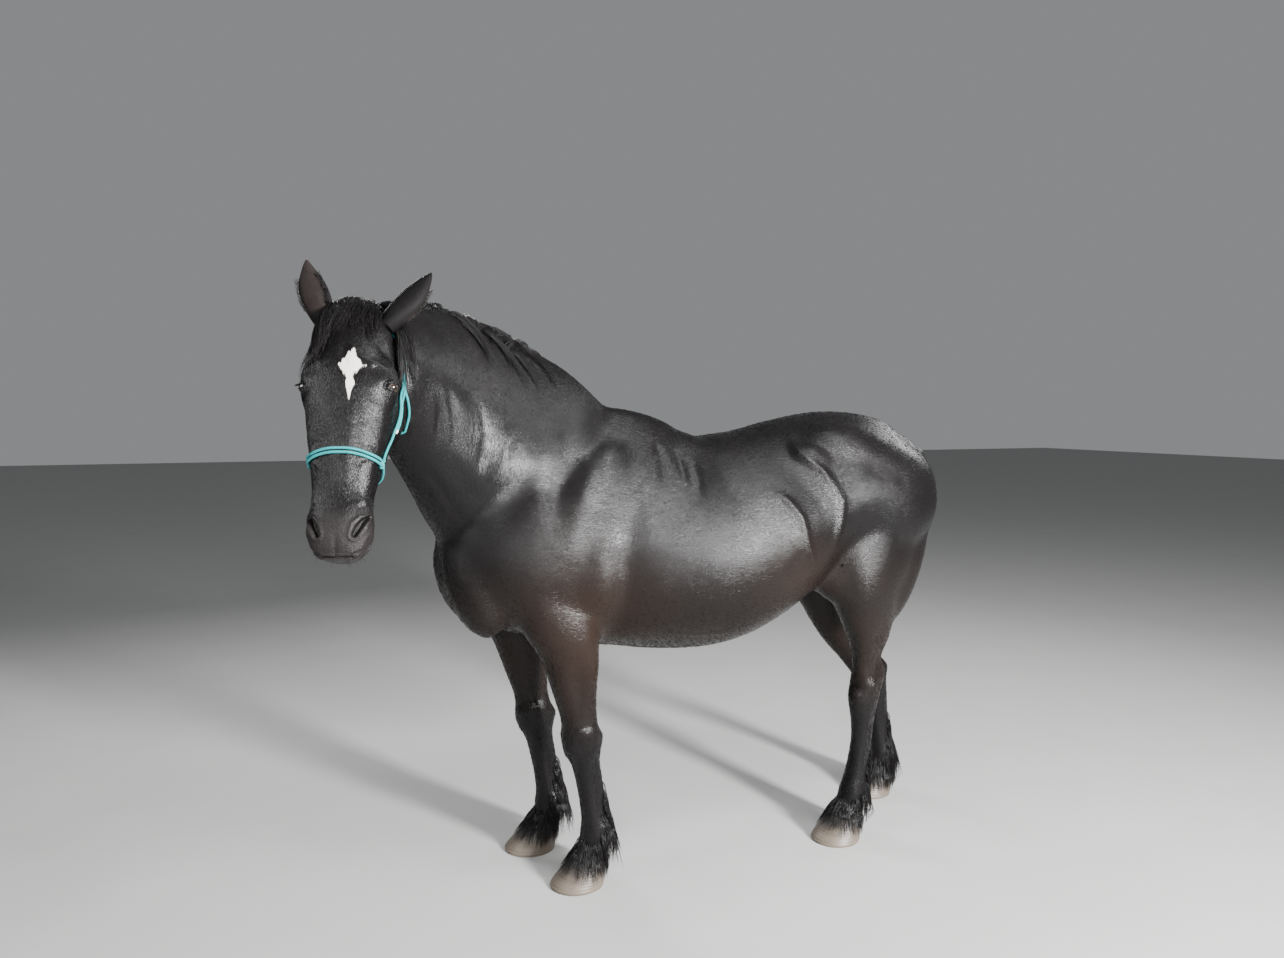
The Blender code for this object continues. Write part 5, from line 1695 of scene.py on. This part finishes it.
# a tight overhand knot lying on the surface
def knotted(name, tree, corner):
    size, radius = ropeShape["knot"]
    spot, normal, _, _ = tree.find_nearest(headMatrix() @ Vector(corner))
    side = normal.orthogonal().normalized()
    other = normal.cross(side)
    path = []
    for k in range(61):
        t = 2 * math.pi * k / 60
        x, y = math.sin(t) + 2 * math.sin(2 * t), math.cos(t) - 2 * math.cos(2 * t)
        lift = -math.sin(3 * t) * size * 0.85 + size * 1.3
        path.append((spot + side * x * size + other * y * size + normal * lift, normal))
    return braided(name, path, radius=radius)


# links the inputs of a node to other nodes or sets them to a value
def plugged(tree, made, values):
    for key, value in values.items():
        if isinstance(value, bpy.types.NodeSocket):
            tree.links.new(value, made.inputs[key])
        else:
            made.inputs[key].default_value = value


# a node of this kind with these inputs
def node(tree, kind, inputs=None, **settings):
    made = tree.nodes.new("ShaderNode" + kind)
    for key, value in settings.items():
        setattr(made, key, value)
    plugged(tree, made, inputs or {})
    return made


def maths(tree, operation, *values):
    return node(tree, "Math", dict(enumerate(values)), operation=operation).outputs[0]


def times(tree, first, second):
    return maths(tree, "MULTIPLY", first, second)


def plus(tree, first, second):
    return maths(tree, "ADD", first, second)


# the length of a vector of two numbers
def span(tree, x, y):
    pair = node(tree, "CombineXYZ", {0: x, 1: y}).outputs[0]
    return node(tree, "VectorMath", {0: pair}, operation="LENGTH").outputs["Value"]


def known(tree, name, output="Fac"):
    return node(tree, "Attribute", attribute_name=name).outputs[output]


def objectPlace(tree):
    return node(tree, "TexCoord").outputs["Object"]


def noise(tree, vector, scale, detail=3.0, rough=0.55):
    inputs = {"Vector": vector, "Scale": scale, "Detail": detail, "Roughness": rough}
    return node(tree, "TexNoise", inputs).outputs["Fac"]


# noise drawn out by another scale each way
def grain(tree, vector, scale, detail=2.0, rough=0.55, turn=(0, 0, 0)):
    drawn = node(tree, "Mapping", {"Vector": vector, "Rotation": turn, "Scale": scale}).outputs[0]
    return noise(tree, drawn, 1.0, detail, rough)


def mixed(tree, share, first, second):
    made = node(tree, "Mix", data_type="RGBA")
    plugged(tree, made, {0: share, 6: first, 7: second})
    return made.outputs[2]


def blended(tree, share, first, second):
    return node(tree, "Mix", {0: share, 2: first, 3: second}).outputs[0]


def between(tree, value, low, high, toLow=0.0, toHigh=1.0):
    inputs = {"Value": value, "From Min": low, "From Max": high, "To Min": toLow, "To Max": toHigh}
    return node(tree, "MapRange", inputs, interpolation_type="SMOOTHSTEP").outputs[0]


# the tone with up to the most of another one, where the value rises from low to high
def tinted(tree, tone, other, value, low, high, most=1.0):
    return mixed(tree, between(tree, value, low, high, 0.0, most), tone, other)


def colour(red, green, blue):
    return (red, green, blue, 1.0)


def newMaterial(name, roughness, **constants):
    made = bpy.data.materials.new(name)
    made.use_nodes = True
    tree = made.node_tree
    surface = tree.nodes["Principled BSDF"]
    surface.inputs["Roughness"].default_value = roughness
    for key, value in constants.items():
        surface.inputs[key.replace("_", " ")].default_value = value
    return made, tree, surface


def bumped(tree, surface, height, strength, distance):
    made = node(tree, "Bump", {"Height": height, "Strength": strength, "Distance": distance})
    tree.links.new(made.outputs[0], surface.inputs["Normal"])


starShape = {
    # the diamond and the strip below it in head space: middle, half width, half height
    "middle": 0.02,
    "diamond": (0.196, 0.036, 0.048),
    "strip": (0.246, 0.011, 0.05),
    "ragged": 1.3,
    "edge": (1.06, 0.9),
}


# how white the star on the forehead is, by place in head space
def starShare(tree, place):
    ragged = grain(tree, place, (70, 70, 26))
    parts = node(tree, "SeparateXYZ", {0: place})
    aside = maths(tree, "ABSOLUTE", maths(tree, "SUBTRACT", parts.outputs[0], starShape["middle"]))
    shares = []
    for height, wide, tall in (starShape["diamond"], starShape["strip"]):
        down = maths(tree, "ABSOLUTE", plus(tree, parts.outputs[2], height))
        shares.append(plus(tree, maths(tree, "DIVIDE", aside, wide), maths(tree, "DIVIDE", down, tall)))
    edge = maths(tree, "MINIMUM", *shares)
    edge = plus(tree, edge, times(tree, maths(tree, "SUBTRACT", ragged, 0.5), starShape["ragged"]))
    onFront = between(tree, parts.outputs[1], 0.0, 0.03)
    return times(tree, between(tree, edge, *starShape["edge"]), onFront)


coatColours = {
    "black": colour(0.0026, 0.0023, 0.0024),
    "brown": colour(0.0105, 0.0058, 0.004),
    "skin": colour(0.011, 0.009, 0.0088),
    "white": colour(0.62, 0.58, 0.53),
    "dust": colour(0.0095, 0.0085, 0.0082),
    # painted shade for the nostril holes and the crease between the lips
    "inside": colour(0.003, 0.0025, 0.0025),
    "lidRim": colour(0.004, 0.0035, 0.0035),
}
# how the hair lies on each part of the horse: how fine it is each way, and its slope in radians
coatGrain = {
    "body": ((520, 45, 520), 0.42),
    "legs": ((520, 520, 45), 0.0),
    "neck": ((520, 520, 48), -0.5),
    "face": ((640, 640, 70), 0.0),
    "neckLocks": ((95, 95, 11), -0.5),
}


# short glossy hair, streaked the way it lies on each part of the horse
def skinMaterial():
    gloss = {"Specular_IOR_Level": 0.17, "Sheen_Weight": 0.0, "Sheen_Roughness": 0.35, "Anisotropic": 0.35}
    made, tree, surface = newMaterial("short_coat", 0.36, **gloss)
    where = objectPlace(tree)
    place = known(tree, "headPlace", "Vector")
    onHead, onLegs, onNeck = known(tree, "onHead"), known(tree, "onLegs"), known(tree, "onNeck")
    brown, muzzle = known(tree, "brown"), known(tree, "muzzle")
    wander = node(tree, "TexNoise", {"Vector": where, "Scale": 9.0, "Detail": 1.0}).outputs["Color"]
    sway = node(tree, "VectorMath", {0: wander, 3: 0.02}, operation="SCALE").outputs[0]
    swayed = node(tree, "VectorMath", {0: where, 1: sway}, operation="ADD").outputs[0]

    def streaks(vector, part):
        scale, slope = coatGrain[part]
        return grain(tree, vector, scale, 2.0, 0.6, (slope, 0, 0))

    hair = blended(tree, onLegs, streaks(swayed, "body"), streaks(swayed, "legs"))
    hair = blended(tree, onNeck, hair, streaks(swayed, "neck"))
    hair = blended(tree, onHead, hair, streaks(place, "face"))
    clumps = blended(tree, onNeck, grain(tree, where, (60, 24, 60), 3.0), streaks(swayed, "neckLocks"))
    height = plus(tree, times(tree, hair, 0.75), times(tree, clumps, blended(tree, onNeck, 0.35, 1.1)))

    tone = mixed(tree, brown, coatColours["black"], coatColours["brown"])
    tone = tinted(tree, tone, coatColours["dust"], hair, 0.35, 0.8, 0.22)
    tone = tinted(tree, tone, coatColours["brown"], noise(tree, where, 2.6, 3.0), 0.5, 0.8, 0.12)
    tone = mixed(tree, muzzle, tone, coatColours["skin"])
    tone = mixed(tree, starShare(tree, place), tone, coatColours["white"])
    # inside paints shade into the nostril holes and the lip crease; lidRim colours the lids' rolled edges
    for name in ("inside", "lidRim"):
        tone = mixed(tree, known(tree, name), tone, coatColours[name])
    rough = blended(tree, muzzle, between(tree, hair, 0.3, 0.7, 0.32, 0.2), 0.46)
    plugged(tree, surface, {"Base Color": tone, "Roughness": rough})
    pores = node(tree, "TexVoronoi", {"Vector": place, "Scale": 420.0}).outputs["Distance"]
    bumped(tree, surface, blended(tree, muzzle, height, times(tree, pores, 0.6)), 0.75, 0.0022)
    return made


# long or short hair as strands: how brown its tips are, how dusty it is, its roughness and
# whether it carries the star
def hairMaterial(name, warm, lift, rough, starred):
    made, tree, surface = newMaterial(name, 0.36, Specular_IOR_Level=0.2, Anisotropic=0.5)
    strand, along = known(tree, "strand"), known(tree, "along")
    tone = mixed(tree, known(tree, "brown"), coatColours["black"], coatColours["brown"])
    tone = tinted(tree, tone, coatColours["dust"], strand, 0.55, 1.0, lift)
    tone = mixed(tree, times(tree, along, warm), tone, coatColours["brown"])
    if starred:
        place = known(tree, "headPlace", "Vector")
        tone = mixed(tree, starShare(tree, place), tone, coatColours["white"])
    plugged(tree, surface, {"Base Color": tone, "Roughness": between(tree, strand, 0.0, 1.0, *rough)})
    bumped(tree, surface, grain(tree, objectPlace(tree), (900, 900, 60), 1.0), 0.25, 0.0006)
    return made


earColours = {"inside": colour(0.006, 0.005, 0.005), "flesh": colour(0.018, 0.013, 0.012)}


def earMaterial():
    made, tree, surface = newMaterial("ear", 0.62, Specular_IOR_Level=0.08, Sheen_Weight=0.0)
    place = known(tree, "headPlace", "Vector")
    hair = grain(tree, place, (560, 560, 60))
    outer = tinted(tree, coatColours["black"], coatColours["dust"], hair, 0.35, 0.75, 0.4)
    inner = mixed(tree, noise(tree, place, 60.0), earColours["inside"], earColours["flesh"])
    plugged(tree, surface, {"Base Color": mixed(tree, known(tree, "cup"), outer, inner)})
    bumped(tree, surface, hair, 0.5, 0.0014)
    return made


hoofColours = {
    "low": colour(0.092, 0.073, 0.055),
    "high": colour(0.026, 0.022, 0.02),
    "fibre": colour(0.13, 0.104, 0.08),
    "band": colour(0.034, 0.029, 0.025),
    "dirt": colour(0.13, 0.105, 0.08),
}


def hoofMaterial():
    made, tree, surface = newMaterial("hoof_horn", 0.48, Specular_IOR_Level=0.45)
    where, level = objectPlace(tree), known(tree, "level")
    fibres = grain(tree, where, (420, 420, 22), 3.0)
    bands = grain(tree, where, (7, 7, 170))
    rise = between(tree, plus(tree, level, times(tree, bands, 0.02)), 0.02, 0.095)
    tone = mixed(tree, rise, hoofColours["low"], hoofColours["high"])
    tone = tinted(tree, tone, hoofColours["fibre"], fibres, 0.4, 0.7, 0.45)
    tone = tinted(tree, tone, hoofColours["band"], bands, 0.5, 0.75, 0.4)
    soiled = plus(tree, level, times(tree, noise(tree, where, 45.0), 0.016))
    dirt = times(tree, between(tree, soiled, 0.02, 0.004), 0.55)
    plugged(tree, surface, {"Base Color": mixed(tree, dirt, tone, hoofColours["dirt"])})
    bumped(tree, surface, plus(tree, fibres, times(tree, bands, 0.8)), 0.35, 0.0012)
    return made


eyeColours = {
    "iris": (colour(0.01, 0.005, 0.003), colour(0.042, 0.018, 0.008)),
    "pupil": colour(0.002, 0.002, 0.003),
    "white": (colour(0.006, 0.005, 0.004), colour(0.012, 0.009, 0.007)),
}


# a wide dark pupil in a brown iris that is rayed from its middle
def eyeMaterial():
    gloss = {"Specular_IOR_Level": 0.6, "Coat_Weight": 1.0, "Coat_Roughness": 0.02}
    made, tree, surface = newMaterial("eye", 0.06, **gloss)
    place = known(tree, "gaze", "Vector")
    parts = node(tree, "SeparateXYZ", {0: place})
    u, v = parts.outputs[0], parts.outputs[1]
    away = span(tree, u, v)
    turned = {0: times(tree, maths(tree, "ARCTAN2", v, u), 9.0), 1: times(tree, away, 4.0)}
    rays = noise(tree, node(tree, "CombineXYZ", turned).outputs[0], 1.0, 3.0)
    iris = mixed(tree, rays, *eyeColours["iris"])
    wide = span(tree, maths(tree, "DIVIDE", u, 0.4), maths(tree, "DIVIDE", v, 0.17))
    tone = tinted(tree, iris, eyeColours["pupil"], wide, 1.1, 0.92)
    white = mixed(tree, noise(tree, place, 9.0), *eyeColours["white"])
    plugged(tree, surface, {"Base Color": tinted(tree, tone, white, away, 0.86, 0.93)})
    return made


ropeColours = {
    # painted shade for the grooves between the plaits
    "grooveShade": colour(0.002, 0.085, 0.092),
    "plait": colour(0.004, 0.215, 0.225),
    "thread": colour(0.012, 0.29, 0.3),
    "worn": colour(0.04, 0.11, 0.11),
    "pale": colour(0.62, 0.62, 0.58),
}


def ropeMaterial():
    made, tree, surface = newMaterial("halter_rope", 0.62, Specular_IOR_Level=0.25, Sheen_Weight=0.04)
    threads = noise(tree, objectPlace(tree), 1400.0, 2.0)
    # the grooves between the plaits are painted darker as painted shade; the plait tops keep the rope's own
    # teal
    tone = mixed(tree, known(tree, "plait"), ropeColours["grooveShade"], ropeColours["plait"])
    tone = tinted(tree, tone, ropeColours["thread"], threads, 0.45, 0.75, 0.35)
    run = node(tree, "CombineXYZ", {0: times(tree, known(tree, "run"), 30.0)}).outputs[0]
    tone = tinted(tree, tone, ropeColours["worn"], noise(tree, run, 1.0, 3.0), 0.5, 0.8, 0.3)
    tone = mixed(tree, known(tree, "pale"), tone, ropeColours["pale"])
    plugged(tree, surface, {"Base Color": tone})
    bumped(tree, surface, threads, 0.35, 0.0005)
    return made


floorColours = (colour(0.3, 0.3, 0.296), colour(0.33, 0.33, 0.326))


def floorMaterial():
    made, tree, surface = newMaterial("studio_floor", 0.75, Specular_IOR_Level=0.25)
    where = objectPlace(tree)
    plugged(tree, surface, {"Base Color": mixed(tree, noise(tree, where, 3.0), *floorColours)})
    bumped(tree, surface, noise(tree, where, 260.0), 0.05, 0.0005)
    return made


skin = makeSkin()
tree = surfaceTree(skin)
print("skin made", len(skin.data.polygons))
ears = {name: ear(name) for name in earShape["places"]}
hooves = {name.replace("leg", "hoof"): hoof(name) for name in legShape["legs"]}
eyes = {"eye_" + word: eyeball(word) for word in eyeFrames}
dock = shadeSmooth(smoothed(fused(tail(), 0.006), 10, lambda point: 1.0))
dock.name = "tail_core"
store(dock, "strand", np.full(len(dock.data.vertices), 0.3))
print("ears, hooves and eyes made")

hair = {"mane": makeMane(tree), "forelock": makeForelock(tree), "tail_hair": makeTail(surfaceTree(dock))}
lowTree = surfaceTree(skin, *hooves.values())
for name in legShape["legs"]:
    hair[name.replace("leg", "feather")] = makeFeather(name, lowTree)
for made in (*makeFur(skin), makeEarHair(ears), makeLashes(tree)):
    hair[made.name] = made
print("hair made", sum(len(face.vertices) - 2 for made in hair.values() for face in made.data.polygons))

# corners in head space that each piece of rope runs through on the head's left side
halterShape = {
    "nose": (
        (0.093, -0.014, -0.436),
        (0.082, 0.042, -0.434),
        (0.045, 0.07, -0.426),
        (0.0, 0.08, -0.424),
    ),
    "chin": (
        (0.093, -0.016, -0.442),
        (0.088, -0.075, -0.458),
        (0.052, -0.125, -0.472),
        (0.0, -0.145, -0.476),
    ),
    "cheek": (
        (0.096, -0.014, -0.434),
        (0.112, -0.06, -0.35),
        (0.118, -0.085, -0.26),
        (0.122, -0.088, -0.175),
        (0.12, -0.086, -0.122),
        (0.121, -0.083, -0.092),
    ),
    "throat": (
        (0.122, -0.08, -0.176),
        (0.118, -0.125, -0.205),
        (0.09, -0.19, -0.232),
        (0.0, -0.225, -0.24),
    ),
    "freeEnd": (
        (0.122, -0.09, -0.15),
        (0.124, -0.098, -0.205),
        (0.122, -0.097, -0.265),
        (0.118, -0.082, -0.335),
    ),
    # how far the lower noseband lies under the upper one, and the white end of the rope
    "lower": 0.011,
    "whiteEnd": 0.012,
    "knots": {"cheek": (0.096, -0.012, -0.44), "chin": (0, -0.145, -0.478)},
    # turns of the crown piece round the poll, from cheek to cheek, and its corners
    "crown": (-0.02, -0.98, 21),
}


def makeHalter(tree):
    lift = ropeShape["radius"] * 1.5

    def across(corners):
        return corners + tuple((-x, y, z) for x, y, z in reversed(corners[:-1]))

    def onSide(corners, side):
        return [(side * x, y, z) for x, y, z in corners]

    def run(name, corners, **more):
        return braided(name, laid(tree, corners, lift), **more)

    def knot(key, side=1):
        return knotted("knot", tree, onSide([halterShape["knots"][key]], side)[0])

    nose = across(halterShape["nose"])
    lower = [(x, y, z - halterShape["lower"]) for x, y, z in nose]
    made = [run("noseband", nose), run("noseband_low", lower), knot("cheek"), knot("cheek", -1)]
    made += [run("chin", across(halterShape["chin"])), knot("chin")]
    made += [run("cheek", onSide(halterShape["cheek"], side)) for side in (1, -1)]
    made += [run("crown", girth(tree, *halterShape["crown"])), run("throat", across(halterShape["throat"]))]
    made.append(run("free_end", halterShape["freeEnd"], pale=halterShape["whiteEnd"]))
    return joined("halter", made)


halter = makeHalter(tree)
print("halter made")

# the frame sits a little off the place where the shapes are built
built = coordinates(hooves["hoof_front_left"])
low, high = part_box("hoof_front_left")
shift = (Vector(low) + Vector(high)) / 2 - Vector((built.min(0) + built.max(0)) / 2)
shift.z = 0
for made in (skin, dock, halter, *ears.values(), *hooves.values(), *eyes.values(), *hair.values()):
    made.data.transform(Matrix.Translation(shift))
    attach(made, "root")

finishes = {
    "skin": skinMaterial(),
    "mane": hairMaterial("long_hair", 0.1, 0.5, (0.3, 0.5), False),
    "fur": hairMaterial("fur", 0.05, 0.4, (0.22, 0.32), True),
    "ear": earMaterial(),
    "hoof": hoofMaterial(),
    "eye": eyeMaterial(),
    "rope": ropeMaterial(),
}


def finish(objects, material):
    for made in objects:
        made.data.materials.clear()
        made.data.materials.append(finishes[material])


finish([skin], "skin")
finish(ears.values(), "ear")
finish(hooves.values(), "hoof")
finish(eyes.values(), "eye")
finish([halter], "rope")
finish([made for name, made in hair.items() if name.startswith("fur")], "fur")
longHair = ("mane", "forelock", "feather", "lashes", "ear_hair")
finish([made for name, made in hair.items() if name.startswith(longHair)], "mane")
finish([hair["tail_hair"], dock], "mane")

nodes = list(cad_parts)
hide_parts(*[name for name in nodes if name in ("torso", "neck", "head") or name.startswith("leg_")])
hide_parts("tail")
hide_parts(*[name for name in nodes if name.startswith("halter")])
for name, made in (*ears.items(), *hooves.items(), *eyes.items()):
    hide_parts(name)
print("pieces dressed")

studio = {
    "floor": 60.0,
    "air": (0.93, 0.95, 0.97),
    "airStrength": 0.27,
    # place, size, strength, aim
    "lights": (
        ((4.7, 1.9, 2.3), (0.5, 1.3), 1700, (0, 0, 1.15)),
        ((5.2, -2.2, 2.6), (0.8, 0.6), 200, (0.1, -0.9, 1.4)),
        ((2.2, 1.4, 4.8), (1.6, 1.2), 200, (0, 0, 1.4)),
        ((0.8, -4.6, 3.0), (1.6, 1.2), 120, (0, -0.6, 1.2)),
        ((-3.6, -1.0, 3.6), (1.4, 1.0), 130, (0, -0.2, 1.3)),
        ((-1.4, 3.8, 3.2), (1.6, 1.2), 60, (0, 0.2, 1.3)),
    ),
}


def makeStudio():
    half = studio["floor"] / 2
    corners = [(-half, -half, 0), (half, -half, 0), (half, half, 0), (-half, half, 0)]
    floor = meshObject("studio_floor", corners, [(0, 1, 2, 3)])
    floor.data.materials.append(floorMaterial())
    world = bpy.data.worlds.new("studio_air")
    world.use_nodes = True
    air = world.node_tree.nodes["Background"]
    air.inputs["Color"].default_value = colour(*studio["air"])
    air.inputs["Strength"].default_value = studio["airStrength"]
    bpy.context.scene.world = world
    for k, (place, size, strength, aim) in enumerate(studio["lights"]):
        data = bpy.data.lights.new(f"softbox_{k}", "AREA")
        data.shape, data.size, data.size_y, data.energy = "RECTANGLE", size[0], size[1], strength
        light = link(bpy.data.objects.new(f"softbox_{k}", data))
        light.location = place
        light.rotation_euler = (Vector(aim) - Vector(place)).to_track_quat("-Z", "Y").to_euler()


makeStudio()
photoView = {
    "place": (3.28, -1.566, 1.64),
    "heading": (-0.9356, 0.3532),
    "pitch": math.radians(4.09),
    "lens": 27.03,
    "sensor": 36.0,
}
lens = bpy.data.cameras.new("photo_camera")
lens.lens, lens.sensor_width = photoView["lens"], photoView["sensor"]
camera = link(bpy.data.objects.new("photo_camera", lens))
camera.location = Vector(photoView["place"]) + shift
level = math.cos(photoView["pitch"])
gaze = Vector((*(part * level for part in photoView["heading"]), -math.sin(photoView["pitch"])))
camera.rotation_euler = gaze.to_track_quat("-Z", "Y").to_euler()
bpy.context.scene.camera = camera
